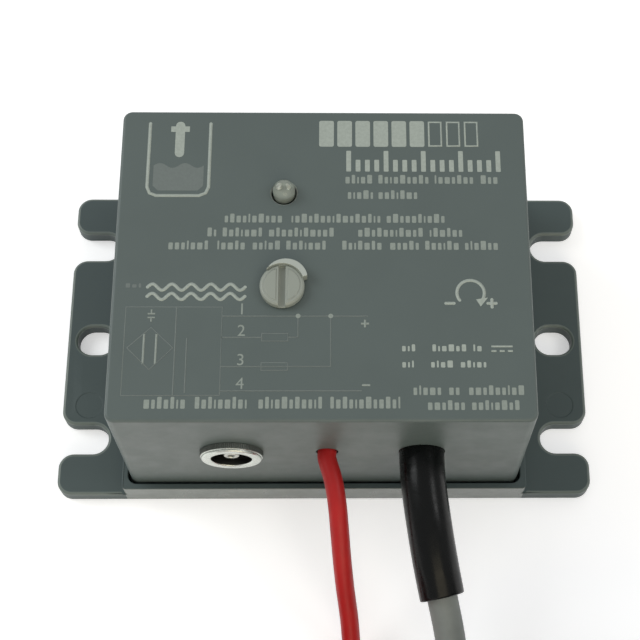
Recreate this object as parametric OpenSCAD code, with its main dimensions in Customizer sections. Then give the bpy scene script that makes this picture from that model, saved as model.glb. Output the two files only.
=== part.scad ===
// Capacitive level switch: a potting-box housing standing in the rimmed tray of a slotted base plate.
// It has an adjuster and a status light on top, and a probe socket, a red earth lead and a sleeved
// cable at the front.
// Millimetres. X runs to the right, Y to the back, Z up. The origin is the middle of the base plate's
// underside.

/* [Housing] */
// Width of the housing across its top face
housing_w = 52; // [50:0.5:58]
// Depth of the housing across its top face
housing_d = 42.4; // [41:0.2:48]
// Height of the top face above the mounting surface
overall_h = 30; // [29:0.5:36]
// Thickness of the housing's side walls
side_wall = 2; // [1.6:0.1:2.4]
// Thickness of the housing's top wall
top_wall = 2; // [1.6:0.1:2.6]
// How far each side wall leans out from the top to the foot
draft = 0.2; // [0.05:0.05:0.3]
// Radius of the housing's upright corners
corner_r = 1.2; // [0.8:0.1:2]
// Radius of the edge round the top face
edge_r = 0.45; // [0.2:0.05:0.7]
// Radius of the screw bosses inside the corners
boss_r = 2.6; // [2.3:0.1:2.8]
// Distance from the housing's side to the middle of a screw boss
boss_inset = 4.2; // [4:0.1:4.6]

/* [Base plate] */
// Thickness of the base plate
plate_t = 2.4; // [2:0.1:3]
// Reach of each ear beyond the tray's rim
ear_reach = 9.2; // [8.8:0.1:12]
// Radius of the ears' corners
ear_corner_r = 2; // [1:0.1:2.6]
// Radius of the rim's outer corners
rim_corner_r = 0.6; // [0.4:0.1:1.6]
// Height of the tray's rim above the plate
rim_h = 2.6; // [1.5:0.1:4]
// Thickness of the tray's rim
rim_wall = 0.8; // [0.6:0.1:1.2]
// Gap between the housing's foot and the rim
rim_gap = 0.3; // [0.2:0.05:0.5]
// Width of the open fixing notches
notch_w = 4.2; // [3.6:0.1:4.6]
// Distance between the front and back notches
notch_pitch = 29.2; // [28:0.2:30]
// Depth of the notches from the plate's side
notch_depth = 6.6; // [5:0.1:7]
// Width of the closed fixing slots
slot_w = 4.2; // [3.2:0.1:4.8]
// Length of the closed fixing slots, end to end
slot_l = 5.2; // [4.8:0.1:6.6]
// Plate left between a slot and the plate's side
slot_edge = 1.4; // [1.2:0.1:2]
// Length of the ribs that centre the housing on the plate
locator_l = 12; // [6:0.5:16]
// Height of the locating ribs
locator_h = 1.4; // [0.8:0.1:2]

/* [Adjuster] */
// Adjuster's place across the top face
adjuster_x = -5; // [-8:0.1:0]
// Adjuster's place from front to back
adjuster_y = -3.9; // [-6:0.1:-2]
// Diameter of the adjuster's head
head_d = 5.54; // [5:0.02:6.4]
// Height of the adjuster's head
head_h = 1.05; // [0.9:0.05:1.6]
// Width of the screwdriver slot
driver_w = 0.85; // [0.6:0.05:1.1]
// Depth of the screwdriver slot
driver_depth = 0.7; // [0.4:0.05:0.8]
// Height of the pointer lip above the head's face
lip_h = 0.35; // [0.2:0.05:1.2]
// Diameter of the adjuster's stem
stem_d = 3.5; // [3:0.1:3.8]
// Width of the trimmer's body
trimmer_w = 7.2; // [6.8:0.1:8]
// Height of the trimmer's body
trimmer_h = 3; // [2.6:0.1:3.2]

/* [Status light] */
// Status light's place across the top face
led_x = -5; // [-8:0.1:0]
// Status light's place from front to back
led_y = 9.3; // [8:0.1:12]
// Diameter of the status light's lens
led_d = 2.84; // [2.5:0.02:3.2]
// Height of the widest part of the dome above the top face
led_stand = 0.6; // [0.2:0.1:1.5]

/* [Connections] */
// Distance of the socket, lead and cable below the top face
exit_drop = 12; // [11.8:0.1:14]
// Socket's place across the front
socket_x = -11.6; // [-13:0.1:-10]
// Diameter of the socket's flange
flange_d = 8.04; // [7.6:0.02:8.6]
// Thickness of the socket's flange
flange_t = 1.05; // [0.6:0.05:1.4]
// Diameter of the socket's bore
socket_bore = 5.2; // [4.8:0.1:5.4]
// Diameter of the socket's threaded neck
neck_d = 6.6; // [6.3:0.1:6.8]
// Length of the neck behind the front wall's outer face
neck_l = 8.5; // [7.5:0.1:9.5]
// Diameter of the socket's centre contact
contact_d = 2.04; // [1.6:0.02:2.4]
// Red lead's place across the front
lead_x = 0.5; // [-1:0.1:2]
// Diameter of the red lead
lead_d = 2.4; // [2:0.1:2.6]
// Cable's place across the front
cable_x = 12.5; // [11.5:0.1:13.5]
// Diameter of the cable
cable_d = 3.9; // [3.6:0.1:4.2]
// Wall of the sleeve round the cable
sleeve_wall = 0.87; // [0.6:0.01:1]
// Diameter of the cable's insulated cores
core_d = 1.1; // [0.9:0.05:1.15]

/* [Circuit board] */
// Room between the board and the top wall
board_room = 3.4; // [3.3:0.1:3.6]
// Thickness of the circuit board
board_t = 1.6; // [1.2:0.1:1.8]
// Gap between the board and the housing's walls
board_gap = 0.4; // [0.2:0.05:0.6]
// Distance of the two board screws from the housing's sides
board_screw_inset = 5.6; // [5.2:0.1:6]
// Diameter of the buffer capacitor's can
can_d = 6.3; // [5:0.1:8]
// Height of the buffer capacitor's can
can_h = 11; // [7:0.5:12]

/* [Fasteners] */
// Diameter of the housing screws' threads
screw_d = 2.1; // [1.8:0.1:2.4]
// Diameter of the housing screws' countersunk heads
screw_head_d = 4.4; // [3.8:0.1:4.8]
// Length of the housing screws
screw_l = 9.5; // [7:0.5:12]
// Diameter of the board screws' threads
board_screw_d = 1.9; // [1.6:0.1:2]
// Diameter of the board screws' heads
board_head_d = 3.6; // [3.2:0.1:3.8]

/* [Hidden] */
$fn = 48;

// Fits and small allowances
slip = 0.05;          // radial clearance of a screw or neck in its hole
seat = 0.02;          // radial clearance of a pressed or keyed piece
turning_gap = 0.06;   // radial clearance of the trimmer's rotor in its body
hole_gap = 0.25;      // radial clearance of the adjuster's stem in the top wall
head_gap = 0.15;      // gap between the adjuster's head and the top face
tiny = 0.01;
past = 1;             // how far a cutting tool runs past the face it cuts
hull_fn = 32;

// Colours
housing_grey = [0.37, 0.40, 0.39];
plate_grey = [0.30, 0.32, 0.32];
pale_plastic = [0.60, 0.63, 0.59];
metal = [0.78, 0.79, 0.80];
gold = [0.83, 0.68, 0.36];
board_green = [0.10, 0.35, 0.20];
chip_black = [0.07, 0.07, 0.08];
sleeve_black = [0.08, 0.09, 0.08];
cable_grey = [0.52, 0.54, 0.53];
lead_red = [0.66, 0.12, 0.11];

// Levels and outlines that follow from the driving sizes
foot_w = housing_w + 2 * draft;
foot_d = housing_d + 2 * draft;
rim_w = foot_w + 2 * (rim_gap + rim_wall);
base_d = foot_d + 2 * (rim_gap + rim_wall);
base_w = rim_w + 2 * ear_reach;
ceiling_z = overall_h - top_wall;
exit_z = overall_h - exit_drop;
board_top = ceiling_z - board_room;
board_bottom = board_top - board_t;
board_w = housing_w - 2 * (side_wall + board_gap);
board_d = housing_d - 2 * (side_wall + board_gap);
boss_x = housing_w / 2 - boss_inset;
boss_y = housing_d / 2 - boss_inset;
pilot_depth = screw_l;
board_screw_x = housing_w / 2 - board_screw_inset;
board_screw_y = 1.5;
post_r = board_screw_d / 2 + 1.2;
post_depth = board_room - 0.6;
board_head_h = 1.3;
head_sink = 0.1;      // how deep the housing screws' heads lie below the plate's underside
head_rim = 0.15;      // height of the straight rim of a countersunk head
lead_hole_r = lead_d / 2 + 0.23;
led_hole_r = led_d / 2 + 0.18;
led_bevel = 0.15;
cable_sides = 12;
sleeve_r = cable_d / 2 + slip + sleeve_wall;
sleeve_bore_r = (cable_d / 2 + slip) / cos(180 / cable_sides);
sleeve_hole_r = sleeve_r + 0.08;

// Distance of the front wall's outer face from the middle, at height z
function front_at(z) = housing_d / 2 + draft * (overall_h - z) / (overall_h - plate_t);
front_y = front_at(exit_z);
inner_front_y = front_y - side_wall;

// Plain shapes

// A flat rectangle with round corners
module round_rect(w, d, r) {
    square([w - 2 * r, d], center = true);
    square([w, d - 2 * r], center = true);
    for (x = [-1, 1], y = [-1, 1])
        translate([x * (w / 2 - r), y * (d / 2 - r)]) circle(r);
}

// A slot along X, end to end l
module slot_outline(l, w) {
    square([l - w, w], center = true);
    for (x = [-1, 1]) translate([x * (l - w) / 2, 0]) circle(w / 2);
}

// A box with upright round corners, leaning sides and a rounded top edge
module drafted_block(w, d, lean, z0, z1, corner, edge) {
    hull()
        for (x = [-1, 1], y = [-1, 1]) {
            translate([x * (w / 2 + lean - corner), y * (d / 2 + lean - corner), z0])
                cylinder(r = corner, h = tiny, $fn = hull_fn);
            for (a = [0 : 22.5 : 90])
                translate([x * (w / 2 - corner), y * (d / 2 - corner), z1 - edge * (1 - sin(a)) - tiny])
                    cylinder(r = corner - edge * (1 - cos(a)), h = tiny, $fn = hull_fn);
        }
}

// Turns a shape that stands on Z so that it points out of the front wall at x
module at_front(x) {
    translate([x, -front_at(exit_z - flange_d / 2), exit_z]) rotate([90, 0, 0]) children();
}

module at_corners(x, y) {
    for (sx = [-1, 1], sy = [-1, 1]) translate([sx * x, sy * y, 0]) children();
}

// Swept tubes for the cords
function unit(v) = v / norm(v);
function heading(p, i) =
    i == 0 ? unit(p[1] - p[0])
    : i == len(p) - 1 ? unit(p[i] - p[i - 1])
    : unit(unit(p[i + 1] - p[i]) + unit(p[i] - p[i - 1]));
function ring(p, i, r, sides, up) =
    let (t = heading(p, i), side = unit(cross(t, up)), top = cross(side, t))
    [for (k = [0 : sides - 1]) p[i] + r * (cos(360 * k / sides) * side + sin(360 * k / sides) * top)];
function flat_list(lists) = [for (l = lists) for (e = l) e];

// The two triangles between corners a and b of one ring and the same corners of the next
function side_faces(a, b, sides) = [[a, b, b + sides], [a, b + sides, a + sides]];
function bore_faces(a, b, sides) = [[b, a, b + sides], [a, a + sides, b + sides]];

module tube(p, r, sides, up = [0, 0, 1]) {
    n = len(p);
    polyhedron(
        points = flat_list([for (i = [0 : n - 1]) ring(p, i, r, sides, up)]),
        faces = concat(
            [[for (k = [sides - 1 : -1 : 0]) k]],
            [[for (k = [0 : sides - 1]) (n - 1) * sides + k]],
            flat_list([for (i = [0 : n - 2], k = [0 : sides - 1])
                side_faces(i * sides + k, i * sides + (k + 1) % sides, sides)])
        )
    );
}

// A tube with a bore, open at both ends
module hollow_tube(p, r, bore_r, sides, up = [0, 0, 1]) {
    n = len(p);
    m = n * sides;
    polyhedron(
        points = concat(
            flat_list([for (i = [0 : n - 1]) ring(p, i, r, sides, up)]),
            flat_list([for (i = [0 : n - 1]) ring(p, i, bore_r, sides, up)])
        ),
        faces = concat(
            flat_list([for (i = [0 : n - 2], k = [0 : sides - 1])
                side_faces(i * sides + k, i * sides + (k + 1) % sides, sides)]),
            flat_list([for (i = [0 : n - 2], k = [0 : sides - 1])
                bore_faces(m + i * sides + k, m + i * sides + (k + 1) % sides, sides)]),
            [for (k = [0 : sides - 1]) let (j = (k + 1) % sides) [j, k, m + k, m + j]],
            [for (k = [0 : sides - 1])
                let (j = (k + 1) % sides, e = (n - 1) * sides)
                [e + k, e + j, m + e + j, m + e + k]]
        )
    );
}

// The end of a wound cord, which climbs from a coil's inmost turn and lies on it
function eased(u) = u <= 0 ? 0 : u >= 1 ? 1 : u * u * (3 - 2 * u);
function tail_points(c, start_a, way, inner_r, top, d, turns, steps) = [
    for (k = [0 : steps])
        let (
            t = -rise_turns / 2 + (turns + rise_turns / 2) * k / steps,
            a = start_a + way * 360 * t,
            r = inner_r + d * abs(t)
        )
        [c.x + r * cos(a), c.y + r * sin(a), top - d / 2 + d * eased(t / rise_turns + 0.5)]
];

// Routes of the cords, from where they leave the front wall
surface_lift = 0.4;   // thickness of a tie under a coil
tie_a = 240;          // how far past a coil's start its tie sits, in degrees
rise_turns = 0.4;     // share of a turn in which a cord climbs to the next layer
lead_sides = 8;
core_sides = 8;
cable_rest_z = surface_lift + cable_d / 2;
// Each point's reach right of the exit, reach out from the front wall, and share of the drop still to come
cable_route = [
    [0, 0, 1],
    [0, 1.5, 1],
    [0.2, 4.7, 0.987],
    [0.75, 8.7, 0.93],
    [1.5, 12.9, 0.808],
    [2.5, 17.2, 0.629],
    [3.6, 21.7, 0.425],
    [4.24, 26.7, 0.233],
    [3.82, 32.7, 0.08],
    [2.68, 38.7, 0.01],
    [1.2, 45.7, 0],
    [0.5, 52.7, 0]
];
cable_path = [for (p = cable_route)
    [cable_x + p.x, -front_y - p.y, cable_rest_z + p.z * (exit_z - cable_rest_z)]];
sleeve_rings = 6;     // number of the cable's points that the sleeve covers
sleeve_inner_l = 5;   // length of the sleeve behind the front wall's outer face
sleeve_path = concat([[cable_x, -front_y + sleeve_inner_l, exit_z]],
    [for (i = [0 : sleeve_rings - 1]) cable_path[i]]);
coil_columns = 4;
coil_layers = 5;
coil_mean_r = 19.6;
coil_outer_r = coil_mean_r + (coil_columns - 1) / 2 * cable_d;
coil_start = cable_path[len(cable_path) - 1];
coil_c = [coil_start.x + coil_outer_r, coil_start.y];
coil_top = surface_lift + coil_layers * cable_d;
coil_inner_r = coil_outer_r - (coil_columns - 1) * cable_d;
coil_tail_turns = 0.3;
cable_tail_path = tail_points(coil_c, 180, 1, coil_inner_r, coil_top, cable_d, coil_tail_turns, 10);

lead_rest_z = surface_lift + lead_d / 2;
lead_route = [
    [0, 0, 1],
    [0, 1, 1],
    [0.8, 3.7, 0.982],
    [1.3, 6.7, 0.927],
    [1.6, 9.7, 0.817],
    [1.9, 12.7, 0.652],
    [2.3, 15.7, 0.451],
    [2.8, 18.7, 0.256],
    [3.1, 21.7, 0.098],
    [3.4, 25.2, 0.012],
    [3.5, 29.7, 0],
    [3.5, 34.7, 0],
    [3.5, 39.7, 0]
];
lead_path = [for (p = lead_route)
    [lead_x + p.x, -front_y - p.y, lead_rest_z + p.z * (exit_z - lead_rest_z)]];
red_columns = 3;
red_layers = 3;
red_mean_r = 12.2;
red_outer_r = red_mean_r + (red_columns - 1) / 2 * lead_d;
red_start = lead_path[len(lead_path) - 1];
red_c = [red_start.x - red_outer_r, red_start.y];
red_inner_r = red_outer_r - (red_columns - 1) * lead_d;
red_tail_turns = 0.4;
red_tail_path = tail_points(red_c, 0, -1, red_inner_r, surface_lift + red_layers * lead_d, lead_d,
    red_tail_turns, 10);

// The cores lie two by two in the cable
core_offset = 0.62;
core_ferrule_l = 7;
ferrule_r = 0.35;
ferrule_collar_r = 0.85;
ferrule_collar_l = 2.2;
core_spacing = 2.4;   // distance between the cores' ends
// Which of the four places each core's end takes, and how far round the coil it lies at three points
core_end_place = [1, 2, 0, 3];
core_fan_a = [20, 38, 60];

cable_end = cable_tail_path[len(cable_tail_path) - 1];
cable_end_heading = unit(cable_end - cable_tail_path[len(cable_tail_path) - 2]);
cable_end_side = unit(cross(cable_end_heading, [0, 0, 1]));
cable_end_r = coil_inner_r + coil_tail_turns * cable_d;
cable_end_a = 180 + 360 * coil_tail_turns;
function on_coil(a, r, z) = [coil_c.x + r * cos(a), coil_c.y + r * sin(a), z];
// Route of outer core number i of 0 to 3, which fans out and comes to rest on the coil
function core_path(i) =
    let (s = i % 2 == 0 ? -1 : 1, up = i < 2 ? -1 : 1)
    let (end_r = cable_end_r + core_spacing * (core_end_place[i] - 0.2))
    [
        cable_end + core_offset * (s * cable_end_side + up * [0, 0, 1]),
        cable_end + cable_end_heading + core_offset * (s * cable_end_side + up * [0, 0, 1]),
        on_coil(cable_end_a + core_fan_a[0], 0.55 * cable_end_r + 0.45 * end_r + s * 0.4,
            cable_end.z + up * 0.45 - 0.3),
        on_coil(cable_end_a + core_fan_a[1], 0.25 * cable_end_r + 0.75 * end_r, coil_top + core_d / 2 + 0.1),
        on_coil(cable_end_a + core_fan_a[2], end_r, coil_top + ferrule_collar_r)
    ];

// Inner wiring, which rises from the front exits to pads under the board
rise = board_bottom - exit_z;
core_pad_y = -5;
lead_pad_y = -11.2;
sheath_end_y = -10;
inner_pitch = 1.8;
core_order = [0, 2, 1, 3];
function inner_core_path(i) =
    let (s = i % 2 == 0 ? -1 : 1, up = i < 2 ? -1 : 1, x = cable_x + inner_pitch * (core_order[i] - 1.5))
    [
        [cable_x + s * core_offset, sheath_end_y, exit_z + up * core_offset],
        [cable_x + s * core_offset, sheath_end_y + 1, exit_z + up * core_offset],
        [x, core_pad_y - 1.6, exit_z + up * core_offset + 0.04 * rise],
        [x, core_pad_y - 0.3, exit_z + 0.36 * rise],
        [x, core_pad_y, exit_z + 0.64 * rise],
        [x, core_pad_y, board_bottom]
    ];
lead_inner_path = [
    [lead_x, -front_y, exit_z],
    [lead_x, lead_pad_y - 4.3, exit_z],
    [lead_x, lead_pad_y - 1.6, exit_z + 0.16 * rise],
    [lead_x, lead_pad_y, exit_z + 0.68 * rise],
    [lead_x, lead_pad_y, board_bottom]
];

// The moulded housing

module housing_shell() {
    difference() {
        drafted_block(housing_w, housing_d, draft, plate_t, overall_h, corner_r, edge_r);
        translate([0, 0, -past])
            drafted_block(housing_w - 2 * side_wall, housing_d - 2 * side_wall, draft,
                plate_t, ceiling_z + past, max(corner_r - side_wall, 0.5), 0.3);
    }
}

module screw_boss() {
    translate([0, 0, plate_t]) cylinder(r = boss_r, h = ceiling_z - plate_t + tiny);
}

module board_post() {
    translate([0, 0, board_top]) cylinder(r = post_r, h = board_room + tiny);
}

// Short ribs on the long walls that the board's edge bears on
module board_ribs() {
    rib_w = 1.2;
    rib_reach = board_gap + 1;
    rib_x = 13;
    for (x = [-rib_x, rib_x], y = [0, 1])
        mirror([0, y, 0])
            translate([x - rib_w / 2, housing_d / 2 - side_wall - rib_reach, board_top])
                cube([rib_w, rib_reach + side_wall / 2, board_room + tiny]);
}

module housing() {
    color(housing_grey)
    difference() {
        union() {
            housing_shell();
            intersection() {
                drafted_block(housing_w, housing_d, draft, plate_t, overall_h, corner_r, edge_r);
                union() {
                    at_corners(boss_x, boss_y) screw_boss();
                    for (x = [-1, 1]) translate([x * board_screw_x, board_screw_y, 0]) board_post();
                    board_ribs();
                }
            }
        }
        at_corners(boss_x, boss_y)
            translate([0, 0, plate_t - past]) cylinder(d = screw_d + 2 * slip, h = pilot_depth + past);
        for (x = [-1, 1])
            translate([x * board_screw_x, board_screw_y, board_top - past])
                cylinder(d = board_screw_d + 2 * slip, h = post_depth + past);
        translate([led_x, led_y, ceiling_z - past]) {
            cylinder(r = led_hole_r, h = top_wall + 2 * past);
            translate([0, 0, top_wall + past - led_bevel])
                cylinder(r1 = led_hole_r, r2 = led_hole_r + 2 * led_bevel, h = 2 * led_bevel);
        }
        translate([adjuster_x, adjuster_y, ceiling_z - past])
            cylinder(r = stem_d / 2 + hole_gap, h = top_wall + 2 * past);
        translate([socket_x, -inner_front_y + past, exit_z]) rotate([90, 0, 0])
            cylinder(d = neck_d + 2 * slip, h = side_wall + 2 * past);
        translate([lead_x, -inner_front_y + past, exit_z]) rotate([90, 0, 0])
            cylinder(r = lead_hole_r, h = side_wall + 2 * past);
        translate([cable_x, -inner_front_y + past, exit_z]) rotate([90, 0, 0])
            cylinder(r = sleeve_hole_r, h = side_wall + 2 * past);
    }
}

// The base plate with its ears, notches, slots and tray

module plate_outline() {
    ear_d = (base_d - notch_pitch - notch_w) / 2;
    neck_half = base_w / 2 - notch_depth + notch_w / 2;
    difference() {
        union() {
            for (y = [-1, 1])
                translate([0, y * (base_d - ear_d) / 2]) round_rect(base_w, ear_d, ear_corner_r);
            round_rect(base_w, notch_pitch - notch_w, ear_corner_r);
            square([2 * neck_half, base_d - 2 * ear_corner_r], center = true);
        }
        for (x = [-1, 1], y = [-1, 1])
            translate([x * neck_half, y * notch_pitch / 2]) circle(notch_w / 2);
        for (x = [-1, 1])
            translate([x * (base_w / 2 - slot_edge - slot_l / 2), 0]) slot_outline(slot_l, slot_w);
    }
}

module locating_ribs() {
    rib_t = 1;
    locator_gap = 0.2;
    rib_x = foot_w / 2 - side_wall - locator_gap - rib_t / 2;
    rib_y = foot_d / 2 - side_wall - locator_gap - rib_t / 2;
    for (x = [-1, 1])
        translate([x * rib_x - rib_t / 2, -locator_l / 2, plate_t - tiny])
            cube([rib_t, locator_l, locator_h + tiny]);
    for (y = [-1, 1])
        translate([-locator_l / 2, y * rib_y - rib_t / 2, plate_t - tiny])
            cube([locator_l, rib_t, locator_h + tiny]);
}

module base_plate() {
    ejector_r = 1.87;
    ejector_depth = 0.12;
    ejector_inset = 3.65;
    ejector_y = -9.7;
    color(plate_grey)
    difference() {
        union() {
            linear_extrude(plate_t) plate_outline();
            linear_extrude(plate_t + rim_h)
                difference() {
                    round_rect(rim_w, base_d, rim_corner_r);
                    round_rect(rim_w - 2 * rim_wall, base_d - 2 * rim_wall, corner_r);
                }
            locating_ribs();
        }
        at_corners(boss_x, boss_y) {
            translate([0, 0, -past]) cylinder(d = screw_d + 2 * slip, h = plate_t + 2 * past);
            translate([0, 0, -past]) cylinder(d = screw_head_d + 2 * seat, h = past + head_sink + head_rim);
            translate([0, 0, head_sink + head_rim - tiny])
                cylinder(d1 = screw_head_d + 2 * seat, d2 = screw_d + 2 * seat,
                    h = (screw_head_d - screw_d) / 2);
        }
        for (x = [-1, 1])
            translate([x * (base_w / 2 - ejector_inset), ejector_y, plate_t - ejector_depth])
                cylinder(r = ejector_r, h = past);
    }
}

// A cross recess of span l, cut up from z = 0
module cross_recess(l) {
    blade = 0.4;
    for (a = [0, 90]) rotate(a) translate([-l / 2, -blade / 2, -tiny]) cube([l, blade, l / 3]);
}

// A countersunk screw pointing up, its head's face at z = 0
module countersunk_screw(d, head_d, l) {
    point_h = 0.8;
    difference() {
        union() {
            cylinder(d = head_d, h = head_rim);
            translate([0, 0, head_rim]) cylinder(d1 = head_d, d2 = d, h = (head_d - d) / 2);
            cylinder(d = d, h = l - point_h);
            translate([0, 0, l - point_h]) cylinder(d1 = d, d2 = d / 4, h = point_h);
        }
        cross_recess(head_d * 0.6);
    }
}

module housing_screws() {
    color(metal) at_corners(boss_x, boss_y)
        translate([0, 0, head_sink]) countersunk_screw(screw_d, screw_head_d, screw_l);
}

// The circuit board and what it carries

trimmer_pin_places = [[-2.5, -2.9], [2.5, -2.9], [0, 2.9]];
led_lead_places = [[-1.27, 0], [1.27, 0]];
sensor_place = [board_w / 2 - 16.1, 4];
regulator_place = [board_w / 2 - 8.1, 9.4 - board_d / 2];
transistor_place = [board_w / 2 - 7.8, board_d / 2 - 8.4];
diode_places = [
    [board_w / 2 - 20.1, 4.8 - board_d / 2],
    [board_w / 2 - 13.6, 4.3 - board_d / 2],
    [board_w / 2 - 4.6, -2.5]
];
buffer_place = [board_w / 2 - 13.6, board_d / 2 - 9.3];
resistor_w = 1.25;
resistor_l = 2;
resistor_h = 0.55;
resistor_pitch = 2.4;
// First place and number of each row
resistor_rows = [
    [board_w / 2 - 21, 8.4, 4],
    [board_w / 2 - 20.2, -0.6, 4],
    [7.6 - board_w / 2, 5.9 - board_d / 2, 3]
];
ceramic_l = 2;
ceramic_w = 1.25;
ceramic_h = 1.1;
ceramic_pitch = 2.2;
// First place and number of each column
ceramic_columns = [[7.6 - board_w / 2, 4, 4], [10.6 - board_w / 2, -3, 3]];
ceramic_pair = [[-7, board_d / 2 - 4.2], [-1, board_d / 2 - 4.2]];
pin_below = 1.4;      // how far soldered pins stand out under the board
solder_hole_r = 0.5;

// A cut with a round inner corner that leaves room for a boss at the board's corner
module corner_cut(r) {
    circle(r);
    translate([0, -r]) square([2 * r, 3 * r]);
    translate([-r, 0]) square([3 * r, 2 * r]);
}

module circuit_board() {
    color(board_green)
    translate([0, 0, board_bottom])
    linear_extrude(board_t)
    difference() {
        round_rect(board_w, board_d, 0.8);
        for (x = [0, 1], y = [0, 1])
            mirror([x, 0]) mirror([0, y]) translate([boss_x, boss_y]) corner_cut(boss_r + board_gap);
        for (x = [-1, 1])
            translate([x * board_screw_x, board_screw_y]) circle(board_screw_d / 2 + 0.15);
        for (p = trimmer_pin_places) translate([adjuster_x + p.x, adjuster_y + p.y]) circle(solder_hole_r);
        for (p = led_lead_places) translate([led_x + p.x, led_y + p.y]) circle(solder_hole_r);
    }
}

module board_screws() {
    color(metal)
    for (x = [-1, 1])
        translate([x * board_screw_x, board_screw_y, board_bottom - board_head_h])
            difference() {
                union() {
                    cylinder(d = board_head_d, h = board_head_h);
                    cylinder(d = board_screw_d, h = board_head_h + board_t + post_depth - 0.3);
                }
                cross_recess(board_head_d * 0.6);
            }
}

// The adjuster's head is a slotted disc with a pointer lip that swells and ends in a step
module adjuster_head() {
    r = head_d / 2;
    bevel = 0.25;
    pad_h = 0.1;
    lip_out_r = r - 0.06;
    lip_inner_r = r - 0.03;
    lip_shift = 0.81;
    lip_middle_a = 56;
    lip_end_a = 20;
    difference() {
        union() {
            cylinder(r = r, h = head_h - bevel);
            translate([0, 0, head_h - bevel]) cylinder(r1 = r, r2 = r - bevel, h = bevel);
            // Two raised pads beside the slot
            intersection() {
                cylinder(r = r - 0.55, h = head_h + pad_h);
                for (x = [-1, 1])
                    translate([x > 0 ? driver_w / 2 + 0.3 : -r - driver_w / 2 - 0.3, -r, head_h - tiny])
                        cube([r, 2 * r, pad_h + tiny]);
            }
            // The pointer lip
            intersection() {
                difference() {
                    translate([lip_shift * cos(lip_middle_a), lip_shift * sin(lip_middle_a), 0])
                        cylinder(r = lip_out_r, h = head_h + lip_h);
                    translate([0, 0, head_h - bevel]) cylinder(r = lip_inner_r, h = lip_h + 2 * past);
                }
                rotate(lip_end_a) translate([-head_d, 0, 0]) cube([2 * head_d, head_d, 3 * head_h]);
            }
        }
        translate([-driver_w / 2, -r - past, head_h - driver_depth])
            cube([driver_w, 2 * r + past - 0.15, driver_depth + pad_h + tiny]);
    }
}

// The stem's lower end has two flats that key it into the rotor
module keyed_rod(r, h) {
    intersection() {
        cylinder(r = r, h = h);
        translate([-r, -0.82 * r, 0]) cube([2 * r, 1.64 * r, h]);
    }
}

rotor_z0 = board_top + 0.55;
rotor_h = trimmer_h - 0.7;
key_z0 = rotor_z0 + 0.5;

module adjuster() {
    color(pale_plastic)
    translate([adjuster_x, adjuster_y, 0]) {
        translate([0, 0, overall_h + head_gap]) adjuster_head();
        translate([0, 0, key_z0]) keyed_rod(stem_d / 2, overall_h + head_gap - key_z0 + 0.2);
        translate([0, 0, board_top + trimmer_h + 0.1])
            cylinder(d = stem_d, h = overall_h + head_gap - board_top - trimmer_h);
    }
}

rotor_r = stem_d / 2 + 0.8;

module trimmer_rotor() {
    color("white")
    translate([adjuster_x, adjuster_y, rotor_z0])
        difference() {
            cylinder(r = rotor_r, h = rotor_h);
            translate([0, 0, key_z0 - rotor_z0]) keyed_rod(stem_d / 2 + seat, rotor_h + past);
        }
}

module trimmer_body() {
    chamfer = 1;
    half = trimmer_w / 2;
    floor_t = 0.5;
    color([0.13, 0.16, 0.30])
    translate([adjuster_x, adjuster_y, board_top])
        difference() {
            linear_extrude(trimmer_h)
                polygon([[-half, -half], [half, -half], [half, half - chamfer], [half - chamfer, half],
                    [-half + chamfer, half], [-half, half - chamfer]]);
            translate([0, 0, floor_t]) cylinder(r = rotor_r + turning_gap, h = trimmer_h + past);
        }
}

module trimmer_pins() {
    pin_w = 0.6;
    pin_t = 0.4;
    color(metal)
    for (p = trimmer_pin_places)
        translate([adjuster_x + p.x - pin_w / 2, adjuster_y + p.y - pin_t / 2, board_bottom - pin_below])
            cube([pin_w, pin_t, board_t + pin_below]);
}

led_foot_z = board_top + 0.8;

module status_led() {
    r = led_d / 2;
    flange_h = 0.8;
    dome_z = overall_h + led_stand;
    color([0.85, 0.87, 0.82, 0.6])
    translate([led_x, led_y, 0]) {
        rotate_extrude()
            intersection() {
                union() {
                    translate([0, led_foot_z]) square([r, dome_z - led_foot_z]);
                    translate([0, led_foot_z]) square([r + 0.2, flange_h]);
                    translate([0, dome_z]) circle(r);
                }
                translate([0, led_foot_z]) square([2 * r, overall_h]);
            }
    }
}

module led_leads() {
    lead_w = 0.5;
    color(metal)
    for (p = led_lead_places)
        translate([led_x + p.x - lead_w / 2, led_y + p.y - lead_w / 2, board_bottom - pin_below])
            cube([lead_w, lead_w, led_foot_z - board_bottom + pin_below]);
}

// A bent lead of a surface-mounted piece, running out along +X from x = 0
module gull_lead(reach, rise, w) {
    t = 0.2;
    rotate([90, 0, 0]) translate([0, 0, -w / 2])
        linear_extrude(w)
            polygon([[0, rise], [reach * 0.45, rise], [reach * 0.65, t], [reach, t], [reach, 0],
                [reach * 0.5, 0], [reach * 0.3, rise - t], [0, rise - t]]);
}

module chip_body(w, d, h) {
    slope = 0.25;
    half = h / 2;
    rotate([90, 0, 90]) translate([0, 0, -w / 2])
        linear_extrude(w)
            polygon([[-d / 2 + slope, 0], [d / 2 - slope, 0], [d / 2, half], [d / 2 - slope, h],
                [-d / 2 + slope, h], [-d / 2, half]]);
}

module sensor_chip() {
    pins = 7;
    pitch = 1.27;
    body = [8.6, 3.9, 1.4];
    color(chip_black)
    translate([sensor_place.x, sensor_place.y, board_top]) {
        translate([0, 0, 0.15]) chip_body(body.x, body.y, body.z);
        for (i = [0 : pins - 1], s = [-1, 1])
            translate([(i - (pins - 1) / 2) * pitch, s * (body.y / 2 - 0.1), 0])
                rotate(s * 90) gull_lead(1.15, 0.95, 0.4);
    }
}

// Gap under the moulded bodies
chip_lift = 0.05;
regulator_w = 6.5;
regulator_d = 3.5;
regulator_h = 1.6;
regulator_pitch = 2.3;
regulator_lead_y = 1.65;
regulator_reach = 1.6;
regulator_rise = 0.95;
regulator_lead_w = 0.7;
regulator_tab_w = 3;

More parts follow.
